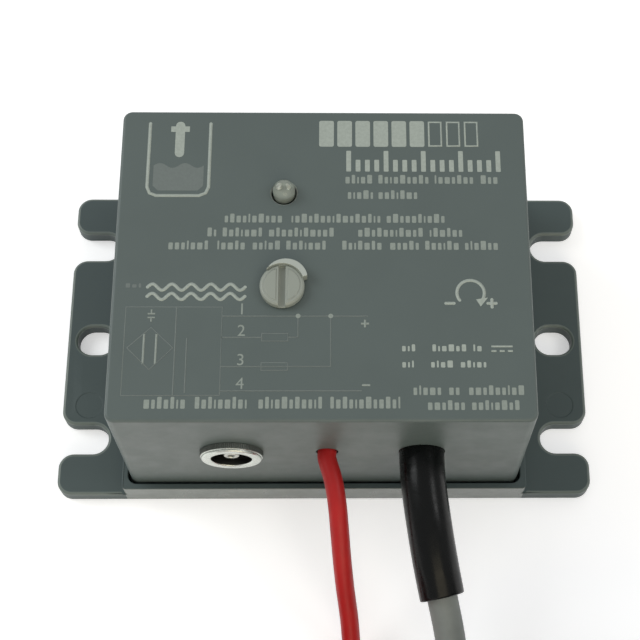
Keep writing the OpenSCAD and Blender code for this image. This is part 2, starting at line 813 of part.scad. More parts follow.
module voltage_regulator() {
    color(chip_black)
    translate([regulator_place.x, regulator_place.y, board_top]) {
        translate([0, 0, chip_lift]) chip_body(regulator_w, regulator_d, regulator_h);
        for (x = [-1, 0, 1]) translate([x * regulator_pitch, -regulator_lead_y, 0])
            rotate(-90) gull_lead(regulator_reach, regulator_rise, regulator_lead_w);
        translate([0, regulator_lead_y, 0])
            rotate(90) gull_lead(regulator_reach, regulator_rise, regulator_tab_w);
    }
}

transistor_w = 6.6;
transistor_d = 6.1;
transistor_h = 2.3;
transistor_pitch = 4.56;
transistor_lead_y = 2.95;
transistor_reach = 2.2;
transistor_rise = 1.25;
transistor_lead_w = 0.8;
transistor_tab_w = 5.2;
transistor_tab_d = 1.8;
transistor_tab_t = 0.5;
transistor_tab_y = 2.4;

module output_transistor() {
    color(chip_black)
    translate([transistor_place.x, transistor_place.y, board_top]) {
        translate([0, 0, chip_lift]) chip_body(transistor_w, transistor_d, transistor_h);
        for (x = [-1, 1]) translate([x * transistor_pitch / 2, -transistor_lead_y, 0])
            rotate(-90) gull_lead(transistor_reach, transistor_rise, transistor_lead_w);
        translate([-transistor_tab_w / 2, transistor_tab_y, 0])
            cube([transistor_tab_w, transistor_tab_d, transistor_tab_t]);
    }
}

diode_w = 4.3;
diode_d = 2.6;
diode_h = 1.9;
diode_end = [0.7, 1.4, 1.1];

module protection_diodes() {
    color(chip_black)
    for (p = diode_places)
        translate([p.x, p.y, board_top]) {
            translate([0, 0, 0.1]) chip_body(diode_w, diode_d, diode_h);
            for (s = [-1, 1])
                translate([s * (diode_w / 2 + 0.2) - diode_end.x / 2, -diode_end.y / 2, 0]) cube(diode_end);
        }
}

module small_block(places, size) {
    for (p = places)
        translate([p.x - size.x / 2, p.y - size.y / 2, board_top]) cube(size);
}

module resistors() {
    color(chip_black)
        for (row = resistor_rows)
            small_block([for (i = [0 : row.z - 1]) [row.x + resistor_pitch * i, row.y]],
                [resistor_w, resistor_l, resistor_h]);
}

module ceramic_capacitors() {
    color([0.72, 0.60, 0.42]) {
        for (column = ceramic_columns)
            small_block([for (i = [0 : column.z - 1]) [column.x, column.y + ceramic_pitch * i]],
                [ceramic_l, ceramic_w, ceramic_h]);
        small_block(ceramic_pair, [ceramic_l, ceramic_w, ceramic_h]);
    }
}

// The can hangs under the board, with the rolled groove that such cans have near their seal
module buffer_capacitor() {
    r = can_d / 2;
    groove = 0.35;
    edge = 0.4;
    color([0.15, 0.16, 0.2])
    translate([buffer_place.x, buffer_place.y, board_bottom]) mirror([0, 0, 1])
        rotate_extrude()
            difference() {
                square([r, can_h]);
                translate([r + 0.1, 1.6]) circle(groove + 0.1);
                translate([r, can_h]) rotate(45) square([2 * edge, 2 * edge], center = true);
            }
}

// The socket in the front wall

module socket_shell() {
    r = flange_d / 2;
    bore = socket_bore / 2;
    bevel = 0.3;
    color(metal) at_front(socket_x)
        rotate_extrude()
            difference() {
                polygon([[bore, -neck_l], [neck_d / 2 - 0.2, -neck_l], [neck_d / 2, -neck_l + 0.2],
                    [neck_d / 2, 0], [r, 0], [r, flange_t - bevel], [r - bevel, flange_t],
                    [bore + 0.2, flange_t], [bore, flange_t - 0.2]]);
                // Groove that the plug snaps into
                translate([bore - tiny, flange_t - 1]) square([0.22, 0.4]);
            }
}

washer_t = 0.5;

module socket_washer() {
    color(metal)
    translate([socket_x, -inner_front_y + 0.06, exit_z]) rotate([-90, 0, 0])
        difference() {
            cylinder(d = neck_d + 2.4, h = washer_t);
            translate([0, 0, -past]) cylinder(d = neck_d + 2 * slip, h = washer_t + 2 * past);
        }
}

module socket_nut() {
    across_flats = neck_d + 1.9;
    nut_t = 1.8;
    color(metal)
    translate([socket_x, -inner_front_y + 0.06 + washer_t, exit_z]) rotate([-90, 0, 0])
        difference() {
            cylinder(d = across_flats / cos(30), h = nut_t, $fn = 6);
            translate([0, 0, -past]) cylinder(d = neck_d + 2 * slip, h = nut_t + 2 * past);
        }
}

insulator_l = 3.5;

module socket_insulator() {
    color("white") at_front(socket_x)
        translate([0, 0, -neck_l])
            difference() {
                cylinder(r = socket_bore / 2 - seat, h = insulator_l);
                translate([0, 0, -past]) cylinder(d = contact_d + 2 * seat, h = insulator_l + 2 * past);
            }
}

contact_recess = 0.5;
tail_l = 2.6;

module socket_contact() {
    front = flange_t - contact_recess;
    color(gold) at_front(socket_x)
        difference() {
            union() {
                translate([0, 0, -neck_l]) cylinder(d = contact_d, h = neck_l + front - 0.25);
                translate([0, 0, front - 0.25]) cylinder(d1 = contact_d, d2 = contact_d - 0.4, h = 0.25);
                translate([0, 0, -neck_l - tail_l]) cylinder(d = contact_d / 2, h = tail_l + tiny);
            }
            translate([0, 0, front - 3]) cylinder(d = contact_d * 0.45, h = 3 + past);
        }
}

contact_end_y = -front_at(exit_z - flange_d / 2) + neck_l + tail_l;

module socket_wire() {
    color([0.9, 0.9, 0.88])
    tube([
        [socket_x, contact_end_y, exit_z],
        [socket_x, contact_end_y + 0.8, exit_z],
        [socket_x, contact_end_y + 2.3, exit_z + 0.24 * rise],
        [socket_x, contact_end_y + 2.9, exit_z + 0.64 * rise],
        [socket_x, contact_end_y + 2.9, board_bottom]
    ], core_d / 2, core_sides, [1, 0, 0]);
}

// The lead, the cable and their ends

module cable_sleeve() {
    color(sleeve_black) hollow_tube(sleeve_path, sleeve_r, sleeve_bore_r, cable_sides);
}

module cable_inner() {
    color(cable_grey)
    translate([cable_x, sheath_end_y, exit_z]) rotate([90, 0, 0])
        cylinder(d = cable_d, h = front_y + sheath_end_y);
}

tie_strap_t = 0.9;
tie_head_w = 3.2;
tie_head_h = 2.4;
cable_tie_w = 2.5;
lead_tie_w = 2.2;

// Ties that keep the sleeve and the lead from being pulled out, seated behind the front wall
module strain_tie(r, w) {
    head = [tie_head_w, w, tie_head_h];
    difference() {
        union() {
            rotate([-90, 0, 0]) cylinder(r = r + tie_strap_t, h = w);
            translate([-head.x / 2, 0, -r - head.z]) cube([head.x, w, head.z]);
        }
        translate([0, -past, 0]) rotate([-90, 0, 0]) cylinder(r = r, h = w + 2 * past);
    }
}

module strain_ties() {
    color([0.15, 0.15, 0.15]) {
        translate([cable_x, -inner_front_y + 0.1, exit_z]) strain_tie(sleeve_r + seat, cable_tie_w);
        translate([lead_x, -inner_front_y + 0.1, exit_z]) strain_tie(lead_d / 2 + seat, lead_tie_w);
    }
}

module inner_core(i, tint) {
    color(tint) tube(inner_core_path(i), core_d / 2, core_sides, [1, 0, 0]);
}
module inner_core_brown() { inner_core(0, [0.35, 0.2, 0.1]); }
module inner_core_black() { inner_core(1, [0.1, 0.1, 0.1]); }
module inner_core_white() { inner_core(2, [0.92, 0.92, 0.9]); }
module inner_core_blue() { inner_core(3, [0.12, 0.25, 0.6]); }

module red_lead_inner() {
    color(lead_red)
    tube(lead_inner_path, lead_d / 2, lead_sides, [1, 0, 0]);
}

module cable_run() { color(cable_grey) tube(cable_path, cable_d / 2, cable_sides); }
module cable_tail() { color(cable_grey) tube(cable_tail_path, cable_d / 2, cable_sides); }

// The outline of turns that lie w wide and h high beside and on each other, from [0, 0]
module bundle_outline(w, h, d) {
    translate([d / 2, 0]) square([w - d, h]);
    translate([0, d / 2]) square([w, h - d]);
    for (x = [d / 2, w - d / 2], y = [d / 2, h - d / 2]) translate([x, y]) circle(d / 2);
}

// The outer shape of a wound coil
module coil(c, mean_r, columns, layers, d) {
    translate([c.x, c.y, surface_lift])
        rotate_extrude($fn = 96)
            translate([mean_r - columns * d / 2, 0]) bundle_outline(columns * d, layers * d, d);
}

module cable_coil() { color(cable_grey) coil(coil_c, coil_mean_r, coil_columns, coil_layers, cable_d); }

module core(i, tint) { color(tint) tube(core_path(i), core_d / 2, core_sides); }
module core_brown() { core(0, [0.35, 0.2, 0.1]); }
module core_black() { core(1, [0.1, 0.1, 0.1]); }
module core_white() { core(2, [0.92, 0.92, 0.9]); }
module core_blue() { core(3, [0.12, 0.25, 0.6]); }

// A crimped ferrule, its collar starting at the end of path p
module ferrule(p, r, collar_r, l) {
    e = p[len(p) - 1];
    t = heading(p, len(p) - 1);
    translate(e)
        rotate([0, acos(t.z), atan2(t.y, t.x)]) {
            cylinder(r1 = collar_r, r2 = collar_r * 0.8, h = ferrule_collar_l);
            cylinder(r = r, h = l);
        }
}

module core_ferrules() {
    color(metal) for (i = [0 : 3]) ferrule(core_path(i), ferrule_r, ferrule_collar_r, core_ferrule_l);
}

module red_lead_run() { color(lead_red) tube(lead_path, lead_d / 2, lead_sides); }
module red_lead_tail() { color(lead_red) tube(red_tail_path, lead_d / 2, lead_sides); }
module red_lead_coil() { color(lead_red) coil(red_c, red_mean_r, red_columns, red_layers, lead_d); }
module red_lead_ferrule() { color(metal) ferrule(red_tail_path, 0.7, lead_d / 2, 9); }

// A tie round a coil at angle a
module coil_tie(c, a, mean_r, columns, layers, d, w) {
    room = 0.15;
    strap_t = 0.7;
    inner_w = columns * d + 2 * room;
    inner_h = layers * d + room;
    translate([c.x, c.y, 0]) rotate(a) translate([mean_r, w / 2, 0])
        rotate([90, 0, 0])
            linear_extrude(w)
                difference() {
                    translate([-inner_w / 2 - strap_t, 0])
                        square([inner_w + 2 * strap_t, surface_lift + inner_h + strap_t]);
                    translate([-inner_w / 2, surface_lift]) square([inner_w, inner_h]);
                }
}

module coil_ties() {
    color([0.1, 0.1, 0.1]) {
        coil_tie(coil_c, 180 + tie_a, coil_mean_r, coil_columns, coil_layers, cable_d, cable_d * 0.75);
        coil_tie(red_c, -tie_a, red_mean_r, red_columns, red_layers, lead_d, lead_d);
    }
}

housing();
base_plate();
housing_screws();
circuit_board();
board_screws();
adjuster();
trimmer_rotor();
trimmer_body();
trimmer_pins();
status_led();
led_leads();
sensor_chip();
voltage_regulator();
output_transistor();
protection_diodes();
resistors();
ceramic_capacitors();
buffer_capacitor();
socket_shell();
socket_washer();
socket_nut();
socket_insulator();
socket_contact();
socket_wire();
cable_sleeve();
cable_inner();
strain_ties();
inner_core_brown();
inner_core_black();
inner_core_white();
inner_core_blue();
red_lead_inner();
cable_run();
cable_coil();
cable_tail();
core_brown();
core_black();
core_white();
core_blue();
core_ferrules();
red_lead_run();
red_lead_coil();
red_lead_tail();
red_lead_ferrule();
coil_ties();
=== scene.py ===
"""Capacitive level switch, dressed for rendering.

A potting-box housing stands in the rimmed tray of a slotted base plate. On its top are a trimmer's
slotted adjuster, a clear status light and pale printed marks. A probe socket, a red earth lead and a
sleeved cable leave its front. Sizes in the classes are millimetres and become metres where a mesh is
made. The frame is the CAD model's: X to the right, Y to the back, Z up.
"""

import logging
import math
from collections.abc import Callable, Iterable, Sequence
from dataclasses import dataclass
from enum import Enum

import bmesh
import bpy
from mathutils import Matrix, Vector


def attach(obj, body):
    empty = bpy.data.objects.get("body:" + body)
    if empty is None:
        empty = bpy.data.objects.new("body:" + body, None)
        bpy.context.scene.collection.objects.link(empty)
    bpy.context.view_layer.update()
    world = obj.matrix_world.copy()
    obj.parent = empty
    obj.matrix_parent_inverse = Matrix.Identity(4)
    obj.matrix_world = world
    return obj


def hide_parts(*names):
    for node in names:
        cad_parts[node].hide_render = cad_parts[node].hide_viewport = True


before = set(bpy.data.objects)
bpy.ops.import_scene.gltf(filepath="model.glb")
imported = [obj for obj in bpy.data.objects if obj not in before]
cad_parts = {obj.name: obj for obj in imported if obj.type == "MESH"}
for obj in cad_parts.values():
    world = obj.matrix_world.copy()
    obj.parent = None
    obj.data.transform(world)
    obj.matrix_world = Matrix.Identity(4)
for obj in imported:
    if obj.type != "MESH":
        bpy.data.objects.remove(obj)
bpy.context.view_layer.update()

log = logging.getLogger("level_switch")

MM = 0.001
CASE = "case"
TURNING = "adjuster"

Piece = bpy.types.Object
Socket = bpy.types.NodeSocket
Material = bpy.types.Material
Mesh = bmesh.types.BMesh
Point = tuple[float, float, float]
Colour = tuple[float, float, float]
Flat = tuple[float, float]
Outline = Sequence[Flat]

# Sizes that several sub-assemblies share, as in the CAD source
TOP_Z = 30.0
PLATE_T = 2.4
EXIT_Z = 18.0
FRONT_Y = 21.287
BOARD_TOP = 24.6
LED_PLACE = (-5.0, 9.3)
SOCKET_X = -11.6
LEAD_X = 0.5
CABLE_X = 12.5
SURFACE_LIFT = 0.4
RISE_TURNS = 0.4
TIE_ANGLE = 240.0


# Outlines and lines


def smooth(share: float) -> float:
    """Eases a share from 0 to 1 in and out, and keeps it between them."""
    s = min(max(share, 0.0), 1.0)
    return s * s * (3 - 2 * s)


def metres(points: Iterable[Sequence[float]]) -> list[Vector]:
    """Turns points in millimetres into vectors in metres."""
    return [Vector(p) * MM for p in points]


def arc(x: float, y: float, radius: float, degrees: Iterable[float]) -> list[Flat]:
    """Gives points on a circle round x and y, at angles in degrees."""
    return [(x + radius * math.cos(a), y + radius * math.sin(a)) for a in map(math.radians, degrees)]


def disc(x: float, y: float, radius: float, steps: int = 20) -> list[Flat]:
    """Gives the outline of a round dot."""
    return arc(x, y, radius, [360 * k / steps for k in range(steps)])


def bar(x0: float, y0: float, x1: float, y1: float, radius: float = 0.0) -> list[Flat]:
    """Gives the outline of an upright rectangle.

    Args:
        x0: Its left side.
        y0: Its lower side.
        x1: Its right side.
        y1: Its upper side.
        radius: The rounding of its corners.

    Returns:
        The corner points, counter-clockwise.
    """
    r = min(radius, (x1 - x0) / 2, (y1 - y0) / 2)
    if r <= 0:
        return [(x0, y0), (x1, y0), (x1, y1), (x0, y1)]
    corners = ((x1 - r, y0 + r, -90), (x1 - r, y1 - r, 0), (x0 + r, y1 - r, 90), (x0 + r, y0 + r, 180))
    return [point for x, y, start in corners for point in arc(x, y, r, range(start, start + 91, 30))]


def path(*numbers: float) -> list[Flat]:
    """Pairs numbers up as the points of a line."""
    return list(zip(numbers[::2], numbers[1::2]))


def ring(x0: float, y0: float, x1: float, y1: float) -> list[Flat]:
    """Gives a rectangle as a closed line, with its first point repeated at the end."""
    return [*bar(x0, y0, x1, y1), (x0, y0)]


def smooth_route(points: Sequence[Vector], steps: int) -> list[Vector]:
    """Runs a smooth line through points.

    Args:
        points: The points it passes through.
        steps: The number of steps between two of them.

    Returns:
        The points of the line, the given ones among them.
    """
    ends = [2 * points[0] - points[1], *points, 2 * points[-1] - points[-2]]
    line = []
    for a, b, c, d in zip(ends, ends[1:], ends[2:], ends[3:]):
        for t in [k / steps for k in range(steps)]:
            square, cube = (2 * a - 5 * b + 4 * c - d) * t**2, (3 * b - a - 3 * c + d) * t**3
            line.append(0.5 * (2 * b + (c - a) * t + square + cube))
    return [*line, points[-1]]


def line_length(points: Sequence[Vector]) -> float:
    """Adds up the distances from point to point."""
    return sum((b - a).length for a, b in zip(points, points[1:]))


# Meshes


def linked(name: str, data: bpy.types.ID) -> Piece:
    """Makes an object at the origin and links it to the scene.

    Args:
        name: The object's name.
        data: Its mesh, curve, camera or lamp.

    Returns:
        The new object.
    """
    made = bpy.data.objects.new(name, data)
    bpy.context.scene.collection.objects.link(made)
    return made


def mesh_object(
    name: str, points: Iterable[Sequence[float]], faces: Sequence = (), edges: Sequence = ()
) -> Piece:
    """Makes a mesh object.

    Args:
        name: The object's name.
        points: The mesh's points, in metres.
        faces: Each face's corner numbers.
        edges: Each loose edge's end numbers.

    Returns:
        The new object.
    """
    mesh = bpy.data.meshes.new(name)
    mesh.from_pydata([tuple(p) for p in points], edges, faces)
    mesh.validate()
    return linked(name, mesh)


def edit_mesh(piece: Piece, change: Callable[[Mesh], None]) -> None:
    """Runs one change on a piece's mesh.

    Args:
        piece: The mesh object.
        change: A function that edits the BMesh it is given.
    """
    work = bmesh.new()
    work.from_mesh(piece.data)
    change(work)
    work.to_mesh(piece.data)
    work.free()
    piece.data.update()


def close_and_turn_out(work: Mesh) -> None:
    """Merges doubled points and makes all faces point outwards."""
    bmesh.ops.remove_doubles(work, verts=work.verts, dist=1e-7)
    bmesh.ops.recalc_face_normals(work, faces=work.faces)


def solid(name: str, points: Iterable[Sequence[float]], faces: Sequence) -> Piece:
    """Makes a closed mesh object whose faces point outwards.

    Args:
        name: The object's name.
        points: The mesh's points, in metres.
        faces: Each face's corner numbers.

    Returns:
        The new object.
    """
    made = mesh_object(name, points, faces)
    edit_mesh(made, close_and_turn_out)
    return made


def soften(piece: Piece, angle: float = 35.0) -> Piece:
    """Shades a piece smooth, apart from its sharp edges.

    Args:
        piece: The mesh object.
        angle: Edges sharper than this, in degrees, stay sharp.

    Returns:
        The same object.
    """
    piece.data.shade_smooth()
    piece.data.set_sharp_from_angle(angle=math.radians(angle))
    return piece


def bake(piece: Piece) -> Piece:
    """Turns a piece with its modifiers into a plain mesh.

    Args:
        piece: The object with live modifiers.

    Returns:
        The same object, with the result as its own mesh and no modifiers.
    """
    bpy.context.view_layer.update()
    graph = bpy.context.evaluated_depsgraph_get()
    source = piece.evaluated_get(graph)
    result = bpy.data.meshes.new_from_object(source, preserve_all_data_layers=True, depsgraph=graph)
    piece.modifiers.clear()
    result.name = piece.name
    piece.data = result
    return piece


def weighted(piece: Piece, weight: int) -> Piece:
    """Keeps a piece's flat faces flat to the eye, and bakes it.

    Args:
        piece: The mesh object.
        weight: How much large faces count.

    Returns:
        The same object, with its modifiers in its mesh.
    """
    normals = piece.modifiers.new("normals", "WEIGHTED_NORMAL")
    normals.keep_sharp = True
    normals.weight = weight
    return bake(piece)


def rounded_edges(piece: Piece, width: float, segments: int = 2, angle: float = 40.0) -> Piece:
    """Rounds a piece's sharp edges.

    Args:
        piece: The mesh object.
        width: The rounding's width, in millimetres.
        segments: The number of steps in the rounding.
        angle: Edges sharper than this, in degrees, are rounded.

    Returns:
        The same object, with the rounding in its mesh.
    """
    soften(piece)
    bevel = piece.modifiers.new("edges", "BEVEL")
    bevel.width = width * MM
    bevel.segments = segments
    bevel.limit_method = "ANGLE"
    bevel.angle_limit = math.radians(angle)
    bevel.use_clamp_overlap = False
    bevel.miter_outer = "MITER_ARC"
    bevel.harden_normals = False
    return weighted(piece, 80)


def copy_of_node(node: str, name: str) -> Piece:
    """Copies a CAD node as one welded mesh with plain flat faces.

    Args:
        node: The CAD node's name.
        name: The copy's name.

    Returns:
        The copy; the node stays in view.
    """
    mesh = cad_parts[node].data.copy()
    mesh.name = name
    mesh.materials.clear()
    made = linked(name, mesh)

    def weld(work: Mesh) -> None:
        """Merges the loose triangles and clears the edges inside flat faces.

        Args:
            work: The copy's mesh.
        """
        flat = math.radians(0.4)
        bmesh.ops.remove_doubles(work, verts=work.verts, dist=2e-7)
        bmesh.ops.dissolve_limit(
            work, angle_limit=flat, verts=work.verts, edges=work.edges, use_dissolve_boundaries=False
        )

    edit_mesh(made, weld)
    return made


def skin(name: str, rings: Sequence[Sequence[Vector]], closed: bool = False) -> Piece:
    """Lays a closed surface over rings that have equally many points.

    Args:
        name: The piece's name.
        rings: The rings' points, in metres.
        closed: Whether the last ring joins the first. Otherwise both get a flat end.

    Returns:
        The new piece.
    """
    rows, steps = len(rings), len(rings[0])
    faces = []
    for i in range(rows if closed else rows - 1):
        j = (i + 1) % rows
        for k in range(steps):
            n = (k + 1) % steps
            faces.append((i * steps + k, i * steps + n, j * steps + n, j * steps + k))
    if not closed:
        faces += [tuple(reversed(range(steps))), tuple((rows - 1) * steps + k for k in range(steps))]
    return solid(name, [point for line in rings for point in line], faces)


def lathe(
    name: str, outline: Outline, centre: Point, axis: Point = (0, 0, 1), steps: int = 64, closed: bool = False
) -> Piece:
    """Turns an outline round an axis into a closed mesh.

    Args:
        name: The piece's name.
        outline: Radius and height of each point, in millimetres, from the lower end up.
        centre: Where the axis starts, in millimetres.
        axis: The axis's direction.
        steps: The number of steps in a full turn.
        closed: Whether the outline's last point joins its first, as on a ring.

    Returns:
        The turned piece.
    """
    turn = Vector((0, 0, 1)).rotation_difference(Vector(axis)).to_matrix().to_4x4()
    place = Matrix.Translation(Vector(centre)) @ turn
    rings = [metres(place @ Vector((x, y, z)) for x, y in disc(0, 0, r, steps)) for r, z in outline]
    return skin(name, rings, closed)


def sweep(name: str, line: Sequence[Vector], outline: Outline, steps: int) -> Piece:
    """Makes a hollow tube whose radius changes along a line.

    Args:
        name: The piece's name.
        line: The line it follows, in metres.
        outline: Place along the line and radius, in millimetres, in order round the wall.
        steps: The number of steps round the tube.

    Returns:
        The tube.
    """
    starts = [line_length(line[: k + 1]) for k in range(len(line) - 1)]
    rings = []
    for reach, radius in outline:
        i = max(k for k, start in enumerate(starts) if start <= reach * MM + 1e-12)
        heading = (line[i + 1] - line[i]).normalized()
        centre = line[i] + heading * (reach * MM - starts[i])
        side = heading.cross(Vector((0, 0, 1))).normalized()
        top = side.cross(heading)
        rings.append([centre + (side * x + top * y) * MM for x, y in disc(0, 0, radius, steps)])
    return skin(name, rings, closed=True)


def prism(name: str, outlines: Iterable[Outline], z0: float, z1: float) -> Piece:
    """Raises flat outlines into closed solids of one object.

    Args:
        name: The piece's name.
        outlines: Corner points of each solid, in millimetres, in order round it.
        z0: Height of the lower faces, in millimetres.
        z1: Height of the upper faces, in millimetres.

    Returns:
        The solids as one object.
    """
    points, faces = [], []
    for outline in outlines:
        n, s = len(outline), len(points)
        points += metres((x, y, z) for z in (z0, z1) for x, y in outline)
        faces += [tuple(s + k for k in reversed(range(n))), tuple(s + n + k for k in range(n))]
        faces += [(s + k, s + (k + 1) % n, s + n + (k + 1) % n, s + n + k) for k in range(n)]
    return solid(name, points, faces)


def joined(name: str, pieces: Sequence[Piece]) -> Piece:
    """Joins mesh objects at the origin into one, with the first one's material slots.

    Args:
        name: The new object's name.
        pieces: The objects, which are removed.

    Returns:
        The joined object.
    """
    work = bmesh.new()
    for piece in pieces:
        work.from_mesh(piece.data)
    mesh = bpy.data.meshes.new(name)
    work.to_mesh(mesh)
    work.free()
    for material in pieces[0].data.materials:
        mesh.materials.append(material)
    for piece in pieces:
        bpy.data.objects.remove(piece)
    return linked(name, mesh)


# Finishes

# Where most of a noise's values lie
NOISE_RANGE = (0.3, 0.7)


class NodeBench:
    """A node tree, and a short way to put nodes in it.

    Attributes:
        tree: The tree.
    """

    tree: bpy.types.NodeTree

    def feed(self, node: bpy.types.Node, inputs: dict[str | int, object]) -> None:
        """Fills a node's inputs.

        Args:
            node: The node.
            inputs: A number, a colour or another node's socket for each input, by name or number.
        """
        for key, value in inputs.items():
            if isinstance(value, Socket):
                self.tree.links.new(value, node.inputs[key])
            elif value is not None:
                node.inputs[key].default_value = value

    def put(self, kind: str, inputs: dict[str | int, object] | None = None, **settings: object) -> Socket:
        """Adds a node.

        Args:
            kind: The node's type.
            inputs: What goes into it, as in feed.
            **settings: The node's own settings.

        Returns:
            The node's first output.
        """
        node = self.tree.nodes.new(kind)
        for key, value in settings.items():
            setattr(node, key, value)
        self.feed(node, inputs or {})
        return node.outputs[0]

    def sum(self, operation: str, *parts: Socket | float) -> Socket:
        """Works out one sum of numbers or sockets."""
        return self.put("ShaderNodeMath", dict(enumerate(parts)), operation=operation)


def shade(colour: Colour, factor: float = 1.0) -> tuple[float, ...]:
    """Turns a colour from 0 to 255, as a screen shows it, into the renderer's linear values.

    Args:
        colour: Red, green and blue as a screen shows them.
        factor: How much lighter or darker it becomes.

    Returns:
        Linear red, green and blue, with an alpha of 1.
    """
    shares = [c / 255 for c in colour]
    values = [s / 12.92 if s <= 0.04045 else ((s + 0.055) / 1.055) ** 2.4 for s in shares]
    return (*[min(v * factor, 1.0) for v in values], 1.0)


class ShaderMaker(NodeBench):
    """Builds one node material from noise, bump and colour steps on object coordinates."""

    def __init__(self, name: str) -> None:
        """Starts a material with a Principled shader.

        Args:
            name: The material's name.
        """
        self.material = bpy.data.materials.new(name)
        self.material.use_nodes = True
        self.tree = self.material.node_tree
        self.shader = self.tree.nodes["Principled BSDF"]
        self.place = self.put("ShaderNodeTexCoord").node.outputs["Object"]

    def stretched(self, scale: Sequence[float]) -> Socket:
        """Gives object coordinates stretched along the axes."""
        return self.put("ShaderNodeMapping", {"Vector": self.place, "Scale": scale})

    def noise(
        self, size: float, detail: float = 3.0, rough: float = 0.55, place: Socket | None = None
    ) -> Socket:
        """Gives noise whose lumps have a size.

        Args:
            size: The lumps' size, in millimetres.
            detail: How many finer layers it has.
            rough: How strong the finer layers are.
            place: The coordinates it reads, or None for the object's own.

        Returns:
            The noise's value socket.
        """
        inputs = {"Vector": place or self.place, "Scale": 1 / (size * MM)}
        return self.put("ShaderNodeTexNoise", {**inputs, "Detail": detail, "Roughness": rough})

    def ramp(
        self, value: Socket, low: Sequence[float], high: Sequence[float], ends: Flat = NOISE_RANGE
    ) -> Socket:
        """Turns a value into colours.

        Args:
            value: The value from 0 to 1.
            low: The linear colour at the lower end.
            high: The linear colour at the upper end.
            ends: The two ends.

        Returns:
            The colour socket.
        """
        colour = self.put("ShaderNodeValToRGB", {"Fac": value})
        for element, place, tone in zip(colour.node.color_ramp.elements, ends, (low, high)):
            element.position = place
            element.color = tone
        return colour

    def tint(
        self, value: Socket, colour: Colour, low: float, high: float, ends: Flat = NOISE_RANGE
    ) -> Socket:
        """Turns a value into darker and lighter tones of a screen colour."""
        return self.ramp(value, shade(colour, low), shade(colour, high), ends)

    def spread(self, value: Socket, middle: float, low: float, high: float) -> Socket:
        """Maps a noise value's usual range to numbers below and above a middle one."""
        ends = zip(("From Min", "From Max", "To Min", "To Max"), (*NOISE_RANGE, middle + low, middle + high))
        return self.put("ShaderNodeMapRange", {"Value": value, **dict(ends)})

    def bump(self, height: Socket, depth: float, before: Socket | None = None) -> Socket:
        """Turns a height into bumps of a depth in millimetres, on top of an earlier bump's normal."""
        inputs = {"Height": height, "Strength": 1.0, "Distance": depth * MM, "Normal": before}
        return self.put("ShaderNodeBump", inputs)

    def finish(
        self,
        colour: Socket | Sequence[float],
        roughness: Socket | float,
        normal: Socket | None = None,
        **more: float,
    ) -> Material:
        """Joins the parts to the shader.

        Args:
            colour: A colour socket or a linear colour.
            roughness: A value socket or a number.
            normal: A normal socket, or None for a smooth face.
            **more: Other inputs of the shader by name, with _ for a space.

        Returns:
            The finished material.
        """
        named = {name.replace("_", " "): value for name, value in more.items()}
        self.feed(self.shader, {"Base Color": colour, "Roughness": roughness, "Normal": normal, **named})
        return self.material


@dataclass(frozen=True)
class Look:
    """What every finish has.

    Attributes:
        name: Its material's name.
        colour: Its colour as a screen shows it.
    """

    name: str
    colour: Colour


@dataclass(frozen=True)
class MouldedPlastic(Look):
    """Matt moulded plastic with the fine grain of a spark-eroded mould.

    Attributes:
        roughness: How matt it is.
        grain: The grain's depth, in millimetres.
        grain_size: The grain's size, in millimetres.
        cloud: How far the colour drifts over the piece.
        gloss: The strength of its mirror-like part.
    """

    roughness: float = 0.5
    grain: float = 0.006
    grain_size: float = 0.16
    cloud: float = 0.05
    gloss: float = 0.4

    def build(self) -> Material:
        """Builds the material.

        Returns:
            The finished material.
        """
        make = ShaderMaker(self.name)
        patches = make.sum("MULTIPLY", make.noise(9.0, 2.0), 0.65)
        mixed = make.sum("MULTIPLY_ADD", make.noise(self.grain_size, 2.0, 0.6), 0.35, patches)
        colour = make.tint(mixed, self.colour, 1 - self.cloud, 1 + self.cloud, (0.32, 0.68))
        normal = make.bump(make.noise(self.grain_size, 3.0, 0.6), self.grain)
        rough = make.spread(make.noise(2.5, 2.0), self.roughness, -0.04, 0.05)
        return make.finish(colour, rough, normal, Specular_IOR_Level=self.gloss)


@dataclass(frozen=True)
class TurnedMetal(Look):
    """Metal with the fine marks of turning or drawing.

    Attributes:
        roughness: How matt it is.
        stretch: How the marks are stretched along X, Y and Z.
        depth: The marks' depth, in millimetres.
    """

    roughness: float = 0.25
    stretch: Point = (1.0, 6.0, 1.0)
    depth: float = 0.002

    def build(self) -> Material:
        """Builds the material.

        Returns:
            The finished material.
        """
        make = ShaderMaker(self.name)
        marks = make.noise(0.35, 4.0, 0.6, make.stretched(self.stretch))
        colour = make.tint(make.noise(1.6, 3.0), self.colour, 0.88, 1.05)
        rough = make.spread(marks, self.roughness, -0.06, 0.1)
        return make.finish(colour, rough, make.bump(marks, self.depth), Metallic=1.0)


@dataclass(frozen=True)
class SoftSheath(Look):
    """Soft plastic or rubber as on cables and sleeves, slightly uneven along its length.

    Attributes:
        roughness: How matt it is.
        wave: The depth of its long waves, in millimetres.
        grain: The depth of its fine grain, in millimetres.
        coat: The strength of a thin glossy skin.
        gloss: The strength of its mirror-like part.
    """

    roughness: float = 0.4
    wave: float = 0.03
    grain: float = 0.002
    coat: float = 0.0
    gloss: float = 0.5

    def build(self) -> Material:
        """Builds the material.

        Returns:
            The finished material.
        """
        make = ShaderMaker(self.name)
        colour = make.tint(make.noise(3.0, 3.0), self.colour, 0.92, 1.08)
        wave = make.bump(make.noise(2.2, 1.0), self.wave)
        normal = make.bump(make.noise(0.12, 2.0), self.grain, wave)
        rough = make.spread(make.noise(1.2, 2.0), self.roughness, -0.05, 0.07)
        skins = {"Coat_Weight": self.coat, "Coat_Roughness": 0.2, "Specular_IOR_Level": self.gloss}
        return make.finish(colour, rough, normal, **skins)


